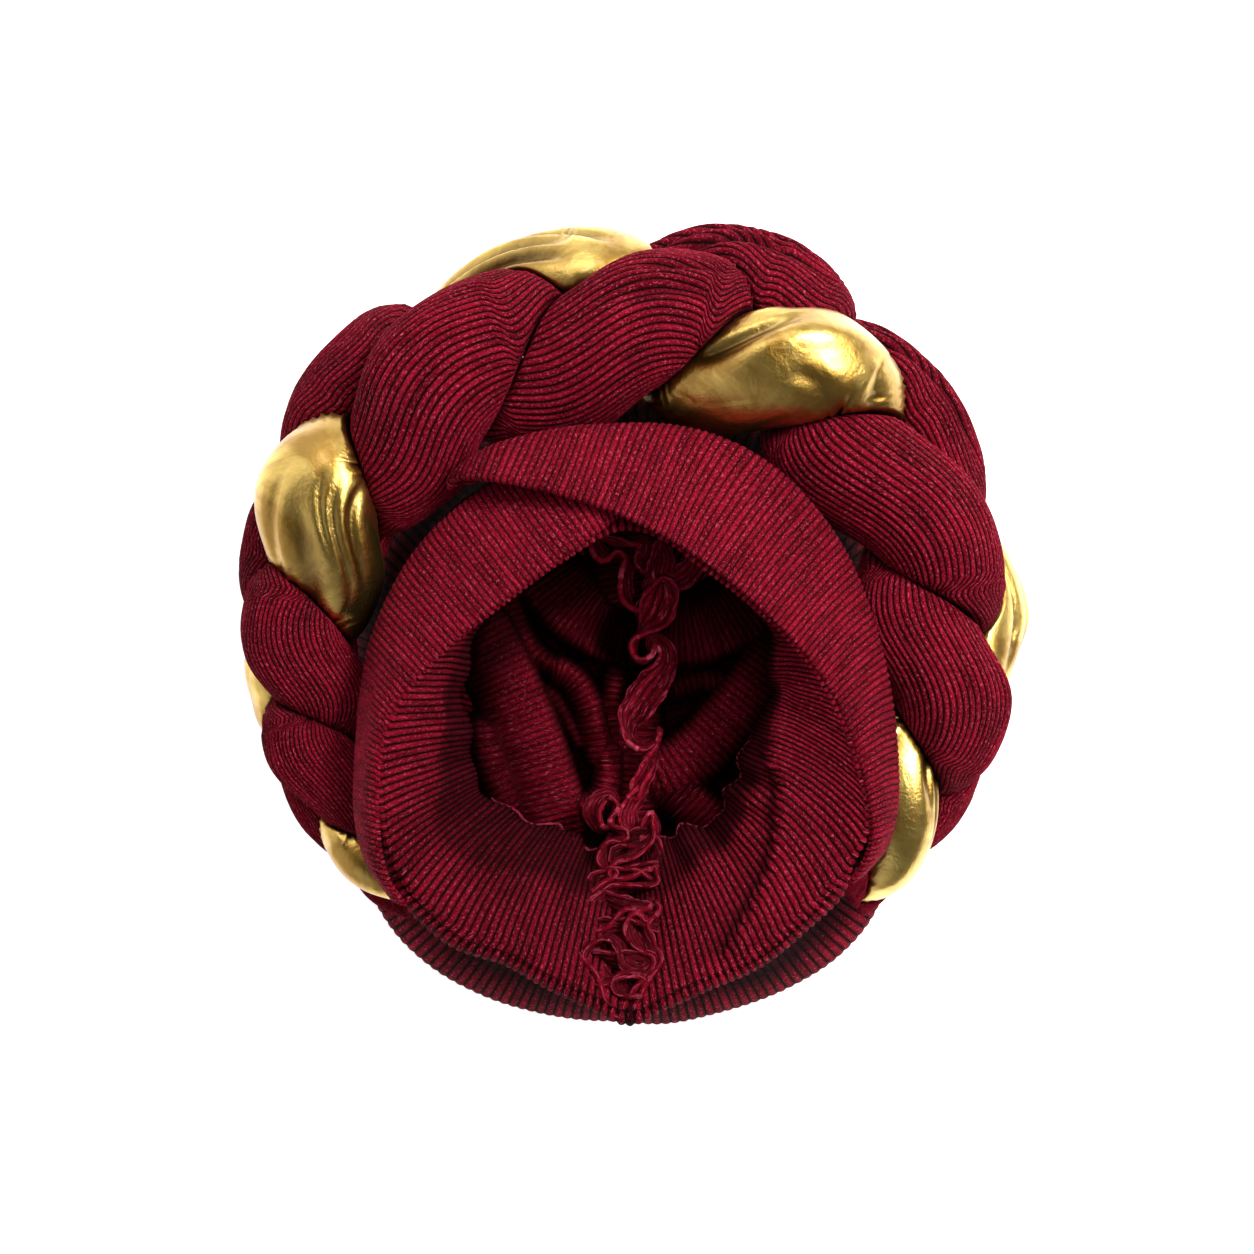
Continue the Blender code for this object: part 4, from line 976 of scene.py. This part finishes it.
def build_knit(look, colour, shadow, light, rib_bump=0.0, groove_painted_shade=0.96):
    """Matt rib knit: yarn colour by grain and bright fibres, with painted shade that turns the
    grooves near-black and darkens the hollow places. With rib_bump, the ribs are drawn by the
    bump alone."""
    tree = look.node_tree
    place = add_node(tree, "ShaderNodeCombineXYZ", {0: own_value(tree, "cloth_u"),
                                                    1: own_value(tree, "cloth_v")}).outputs[0]
    sunk = own_value(tree, "sunk")
    grain = bpy.data.node_groups.get("Knit grain") or knit_grain_group()
    knit = fill(tree, add_node(tree, "ShaderNodeGroup", node_tree=grain), {"Place": place})
    height = knit.outputs["Height"]
    if rib_bump:
        x = add_node(tree, "ShaderNodeSeparateXYZ", {0: place}).outputs[0]
        wave = math_node(tree, "COSINE", math_node(tree, "MULTIPLY", x, TAU))
        half = math_node(tree, "MULTIPLY_ADD", wave, 0.5, 0.5)
        sunk = math_node(tree, "SUBTRACT", 1.0, math_node(tree, "POWER", half, 0.5))
        height = math_node(tree, "MULTIPLY_ADD", sunk, -rib_bump, height)
    yarn = mix_node(tree, knit.outputs["Shade"], shadow, colour)
    yarn = mix_node(tree, math_node(tree, "MULTIPLY", knit.outputs["Speck"], SPECK_SHARE), yarn, light)
    # Painted shade: grooves and hollow places are mixed toward a near-black, a twentieth of the dark yarn
    groove = span_node(tree, sunk, 0.13, 0.80, to_high=groove_painted_shade)
    unshaded_share = math_node(tree, "MULTIPLY_ADD", own_value(tree, "hollow"), -PAINTED_SHADE_SHARE, 1.0)
    bare = math_node(tree, "MULTIPLY", math_node(tree, "SUBTRACT", 1.0, groove), unshaded_share)
    fill(tree, tree.nodes["Principled BSDF"], {
        "Base Color": mix_node(tree, bare, tint(shadow, 0.05), yarn),
        "Normal": bump_node(tree, height, 1.0, KNIT_BUMP), "Roughness": 0.8, "Specular IOR Level": 0.06})


def build_gold(look, colour, deep):
    """Gold leathercloth: metal colour with tarnish in slow patches and a fine soft grain, and
    painted shade toward a deep brown where the hollow value is high.
    """
    tree = look.node_tree
    spot = add_node(tree, "ShaderNodeTexCoord").outputs["Object"]
    patch = noise_node(tree, spot, 38.0, 4.0, 0.6, 0.6)
    grain = noise_node(tree, spot, 900.0, 3.0, 0.65)
    crumple = noise_node(tree, spot, 120.0, 3.0, bend=1.5)
    paint = mix_node(tree, span_node(tree, patch, 0.40, 0.68), deep, colour)
    rough = math_node(tree, "MULTIPLY_ADD", grain, 0.12, span_node(tree, patch, 0.3, 0.7, 0.33, 0.22))
    height = math_node(tree, "MULTIPLY_ADD", crumple, 2.0, grain)
    fill(tree, tree.nodes["Principled BSDF"], {
        "Base Color": mix_node(tree, own_value(tree, "hollow"), paint, tint(deep, 0.12)),
        "Roughness": rough, "Normal": bump_node(tree, height, 0.5, GOLD_BUMP), "Metallic": 1.0,
        "Coat Weight": 0.6, "Coat Roughness": 0.25})


def get_look(name):
    """A finish by name, made once."""
    look = bpy.data.materials.get(name)
    if look:
        return look
    look = bpy.data.materials.new(name)
    look.use_nodes = True
    colours = bpy.context.scene.headwrap_colours
    wine, shadow, light = map(tuple, (colours.wine, colours.wine_shadow, colours.wine_light))
    if name == "gold leathercloth":
        build_gold(look, tuple(colours.gold), tuple(colours.gold_deep))
    elif name == "wine knit with painted shade for the crown":
        # The crown's knit is the wine knit dimmed as painted shade, its ribs drawn by the bump
        build_knit(look, tint(wine, CROWN_PAINTED_SHADE), shadow, tint(light, CROWN_PAINTED_SHADE), 0.8, 0.62)
    elif name == "wine thread":
        light = tint(light, THREAD_SHADE)
        build_knit(look, light, wine, light)
    else:
        build_knit(look, wine, shadow, light)
    return look


def grey_ramp(tree, value, stops):
    """Greys by place, joined by straight lines."""
    ramp = add_node(tree, "ShaderNodeValToRGB", {0: value})
    elements = ramp.color_ramp.elements
    elements.remove(elements[1])
    elements[0].color = (stops[0][1],) * 3 + (1.0,)
    for place, grey in stops[1:]:
        elements.new(place).color = (grey, grey, grey, 1.0)
    return ramp.outputs[0]


LENGTH = {"unit": "LENGTH", "subtype": "DISTANCE"}
COLOUR = {"subtype": "COLOR", "size": 4, "min": 0, "max": 1}


class HeadwrapSizes(bpy.types.PropertyGroup):
    """Sizes that a user would change."""
    rib_pitch: bpy.props.FloatProperty(
        name="Rib pitch", description="Distance between two ribs", default=0.0027, **LENGTH)
    rib_depth: bpy.props.FloatProperty(
        name="Rib depth", description="Depth of the grooves between ribs", default=0.0008, **LENGTH)
    thread_radius: bpy.props.FloatProperty(
        name="Thread radius", description="Radius of an overlock thread", default=0.00030, **LENGTH)
    camera_height: bpy.props.FloatProperty(
        name="Camera height", description="Camera above the floor", default=1.1, **LENGTH)


class HeadwrapColours(bpy.types.PropertyGroup):
    """Colours that a user would change."""
    wine: bpy.props.FloatVectorProperty(
        name="Wine", description="Yarn colour", default=(0.37, 0.0055, 0.026, 1.0), **COLOUR)
    wine_shadow: bpy.props.FloatVectorProperty(
        # wine_shadow is the dull end of the yarn's grain; a twentieth of it is the near-black of the
        # painted shade
        name="Wine shadow", description="Darker yarn", default=(0.075, 0.0004, 0.0036, 1.0), **COLOUR)
    wine_light: bpy.props.FloatVectorProperty(
        name="Wine light", description="Bright fibres", default=(0.72, 0.10, 0.17, 1.0), **COLOUR)
    gold: bpy.props.FloatVectorProperty(
        name="Gold", description="Leathercloth's face", default=(0.92, 0.64, 0.165, 1.0), **COLOUR)
    gold_deep: bpy.props.FloatVectorProperty(
        name="Deep gold", description="Its dull patches", default=(0.42, 0.23, 0.035, 1.0), **COLOUR)
    floor: bpy.props.FloatVectorProperty(
        name="Floor", description="Pale floor", default=(0.93, 0.93, 0.93, 1.0), **COLOUR)


class HEADWRAP_OT_plait(bpy.types.Operator):
    """Makes the plait's three padded rolls, two in rib knit and one in gold leathercloth"""
    bl_idname = "headwrap.plait"
    bl_label = "Plait"

    def execute(self, context):
        depth = context.scene.headwrap_sizes.rib_depth / MM
        for strand, (name, node, finish, slot, rows, ribs, ribbed) in enumerate(ROLLS):
            azimuth = np.linspace(PLAIT[0][0], PLAIT[-1][0], rows)
            points, spots = strand_rings(azimuth, strand, ribs, ribbed * depth)
            roll = roll_mesh(name, points, spots, finish)
            wear(roll, node, slot=slot)
        return {"FINISHED"}


class HEADWRAP_OT_cap(bpy.types.Operator):
    """Makes the cap's ribbed wall and the folds of its sunken crown"""
    bl_idname = "headwrap.cap"
    bl_label = "Cap"

    def execute(self, context):
        depth = context.scene.headwrap_sizes.rib_depth / MM
        stops = np.concatenate([np.linspace(WALL_START, WALL_KNEE, 5)[:-1],
                                np.linspace(WALL_KNEE, 1.0, 22)])
        azimuth, phase, wave = ring_ribs(stops)
        seam = bell(from_seam(azimuth), SEAM_HALF)[:, None]
        wall = cap_wall_surface(azimuth, stops, seam)
        thick = CAP_CLOTH + (LIP_CLOTH - CAP_CLOTH) * ease(stops, *LIP_SPAN)[None]
        thick = thick * np.sqrt(np.clip((1.004 - stops) / 0.02, 0.0, 1.0))[None]
        thick = thick + CAP_DEEPER * depth * (wave - RIB_MIDDLE)
        # Painted shade high on the wall below the lip and along the seam's groove
        hollow = np.maximum(NECK_SHADE * ease(stops[None], *NECK_SPAN), SEAM_SHADE * seam)
        spots = spots_of(phase, run_length(wall, 1), 1.0 - wave, hollow)
        piece = cloth_mesh("cap_wall", wall, thick, spots, "wine knit", True)
        wear(piece, "cap_shell")
        grid, spots = crown_surface()
        back = grid.copy()
        back[..., 2] = np.maximum(grid[..., 2] - CROWN_CLOTH, 0.0)
        piece = cloth_mesh("cap_crown", grid, 0.0, spots, "wine knit with painted shade for the crown", False, back)
        wear(piece)
        return {"FINISHED"}


class HEADWRAP_OT_bands(bpy.types.Operator):
    """Makes the two front bands that cross at the forehead, the right one on top"""
    bl_idname = "headwrap.bands"
    bl_label = "Front bands"

    def execute(self, context):
        sizes = context.scene.headwrap_sizes
        pitch, depth = BAND_FINER * sizes.rib_pitch / MM, BAND_SHALLOWER * sizes.rib_depth / MM
        for name, table, margin, plain_from, flat in BANDS:
            band = roll_mesh(name, *band_rings(table, margin, pitch, depth, plain_from), "wine knit")
            wear(band, "front_" + name)
        return {"FINISHED"}


class HEADWRAP_OT_facing(bpy.types.Operator):
    """Makes the hem facing on the inside of the opening and its overlocked free edge"""
    bl_idname = "headwrap.facing"
    bl_label = "Hem facing"

    def execute(self, context):
        sizes = context.scene.headwrap_sizes
        depth = sizes.rib_depth / MM
        stops = np.concatenate([np.zeros(RIM_STEPS), np.linspace(0, 1, FACING_ROWS)])
        azimuth, phase, wave = ring_ribs(stops)
        grid = facing_surface(azimuth, stops[RIM_STEPS:])
        grid = np.concatenate([rim_roll(azimuth, grid[:, :1]), grid], 1)
        uneven = wander(phase * 0.5, stops[None] * 6, 8.0)
        thick = FACING_CLOTH + 2 * depth * (wave - RIB_MIDDLE) * (1.0 + 0.3 * uneven)
        spots = spots_of(phase, run_length(grid, 1), 1.0 - wave, facing_painted_shade(azimuth, stops, grid))
        piece = cloth_mesh("hem_inner", grid, thick, spots, "wine knit", True)
        wear(piece, "hem_facing")
        for number, (start, end, lift, swing) in enumerate(EDGE_THREADS):
            edge = facing_surface(np.arange(start, end, 0.5), np.ones(1))[:, 0]
            count = np.arange(len(edge))
            wave = np.sin(count * 0.83 + number * 2.0)
            path = edge + np.stack([0 * count, 0 * count, lift + swing * wave], -1)
            toward = unit(np.array([0.0, HEAD_Y, 0.0]) - edge * (1, 1, 0))
            path = path + toward * (0.6 + 0.3 * np.cos(count * 0.61 + number))[:, None]
            lay_thread("hem_thread_%d" % number, path, sizes.thread_radius / MM)
        return {"FINISHED"}


class HEADWRAP_OT_ruffle(bpy.types.Operator):
    """Makes the gathered allowance of the centre seam and its overlock threads"""
    bl_idname = "headwrap.ruffle"
    bl_label = "Seam ruffle"

    def execute(self, context):
        radius = context.scene.headwrap_sizes.thread_radius / MM
        place = np.arange(RIBBON_ACROSS)[None] / RIBBON_RIB
        ridge = 0.5 + 0.5 * np.cos(np.arange(RIBBON_ACROSS) * TAU / RIBBON_RIB)[None]
        for number, (label, rows) in enumerate(RIBBONS):
            under = label == "under"
            name = "ruffle_" + label
            grid = ribbon_surface(rows)
            count = np.arange(len(grid))
            # Painted shade: the ribbon underneath takes the most, the others more as they rise from 42 mm
            deep = UNDER_SHADE if under else 0.12 + 0.33 * ease(grid[..., 2], *RUFFLE_SPAN)
            walked = count[:, None] * RIBBON_STEP * RIBBON_GRAIN
            spots = spots_of(place + number * 5.0, walked, 0.8 * (1.0 - ridge), deep)
            piece = cloth_mesh(name, grid, RUFFLE_CLOTH * (0.7 + 0.5 * ridge), spots, "wine knit")
            wear(piece, *(("seam_ruffle",) if label == "upper" else ()))
            for side, phase in ((-1, 0.0), (0, 1.7))[:1 if under else 2]:
                swing = 0.5 * np.sin(count * 0.9 + phase)[:, None]
                edge = grid[:, side] + swing * unit(grid[:, -1] - grid[:, 0])
                lay_thread("%s_thread_%d" % (name, side + 1), edge, radius)
        return {"FINISHED"}


class HEADWRAP_OT_stage(bpy.types.Operator):
    """Makes the pale floor, the soft studio light and the camera above the opening"""
    bl_idname = "headwrap.stage"
    bl_label = "Floor, light and camera"

    def execute(self, context):
        scene = context.scene
        look = bpy.data.materials.new("pale floor")
        look.use_nodes = True
        pale = tuple(scene.headwrap_colours.floor)
        fill(look.node_tree, look.node_tree.nodes["Principled BSDF"], {
            "Base Color": pale, "Roughness": 0.9, "Specular IOR Level": 0.0, "Emission Color": pale,
            "Emission Strength": FLOOR_GLOW})
        mesh = bpy.data.meshes.new("floor")
        corners = ((-1, -1), (1, -1), (1, 1), (-1, 1))
        mesh.from_pydata([(x * FLOOR_HALF, y * FLOOR_HALF, 0) for x, y in corners], [], [(0, 1, 2, 3)])
        mesh.materials.append(look)
        floor = bpy.data.objects.new("floor", mesh)
        scene.collection.objects.link(floor)
        scene.world = bpy.data.worlds.new("soft studio")
        scene.world.use_nodes = True
        tree = scene.world.node_tree
        direction = add_node(tree, "ShaderNodeTexCoord").outputs["Generated"]
        up = add_node(tree, "ShaderNodeSeparateXYZ", {0: direction}).outputs[2]
        side = add_node(tree, "ShaderNodeVectorMath", {0: direction, 1: SHINE_SIDE},
                        operation="DOT_PRODUCT").outputs["Value"]
        side = math_node(tree, "MAXIMUM", math_node(tree, "MULTIPLY_ADD", side, 0.7, 0.7), 0.15)
        shine = math_node(tree, "MULTIPLY", grey_ramp(tree, up, SHINE), side)
        glossy = add_node(tree, "ShaderNodeLightPath").outputs["Is Glossy Ray"]
        fill(tree, tree.nodes["Background"], {0: mix_node(tree, glossy, grey_ramp(tree, up, SKY), shine),
                                              1: SKY_STRENGTH})
        for name, place, size, power in LAMPS:
            lamp = bpy.data.lights.new(name, "AREA")
            lamp.shape = "SQUARE"
            lamp.size = size
            lamp.energy = power
            thing = bpy.data.objects.new(name, lamp)
            thing.location = place
            x, y, z = np.array(LAMP_AIM) - np.array(place)
            thing.rotation_euler = (math.atan2(math.hypot(x, y), -z), 0.0, math.atan2(y, x) - math.pi / 2)
            thing.visible_glossy = name != "top"
            scene.collection.objects.link(thing)
        camera = bpy.data.objects.new("camera", bpy.data.cameras.new("camera"))
        camera.data.sensor_width = 36.0
        camera.data.lens = CAMERA_LENS
        camera.location = (*CAMERA_PLACE, scene.headwrap_sizes.camera_height)
        scene.collection.objects.link(camera)
        scene.camera = camera
        scene.view_settings.view_transform = "Standard"
        return {"FINISHED"}


class HEADWRAP_PT_panel(bpy.types.Panel):
    """Lists the sizes, the colours and the pieces in the 3D view's sidebar"""
    bl_idname = "HEADWRAP_PT_panel"
    bl_label = "Turban headwrap"
    bl_space_type = "VIEW_3D"
    bl_region_type = "UI"
    bl_category = "Headwrap"

    def draw(self, context):
        for group in (context.scene.headwrap_sizes, context.scene.headwrap_colours):
            for name in group.__annotations__:
                self.layout.prop(group, name)
        for operator in PIECES:
            self.layout.operator(operator.bl_idname)


PIECES = (HEADWRAP_OT_plait, HEADWRAP_OT_cap, HEADWRAP_OT_bands, HEADWRAP_OT_facing,
          HEADWRAP_OT_ruffle, HEADWRAP_OT_stage)
CLASSES = (HeadwrapSizes, HeadwrapColours) + PIECES + (HEADWRAP_PT_panel,)


def register():
    """Registers the classes and hangs the two property groups on the scene."""
    for each in CLASSES:
        bpy.utils.register_class(each)
    bpy.types.Scene.headwrap_sizes = bpy.props.PointerProperty(type=HeadwrapSizes)
    bpy.types.Scene.headwrap_colours = bpy.props.PointerProperty(type=HeadwrapColours)


def unregister():
    """Takes them away again."""
    del bpy.types.Scene.headwrap_colours
    del bpy.types.Scene.headwrap_sizes
    for each in reversed(CLASSES):
        bpy.utils.unregister_class(each)


def main():
    register()
    bpy.ops.headwrap.plait()
    bpy.ops.headwrap.cap()
    bpy.ops.headwrap.bands()
    bpy.ops.headwrap.facing()
    bpy.ops.headwrap.ruffle()
    bpy.ops.headwrap.stage()
    bpy.context.view_layer.update()


if __name__ == "__main__":
    main()
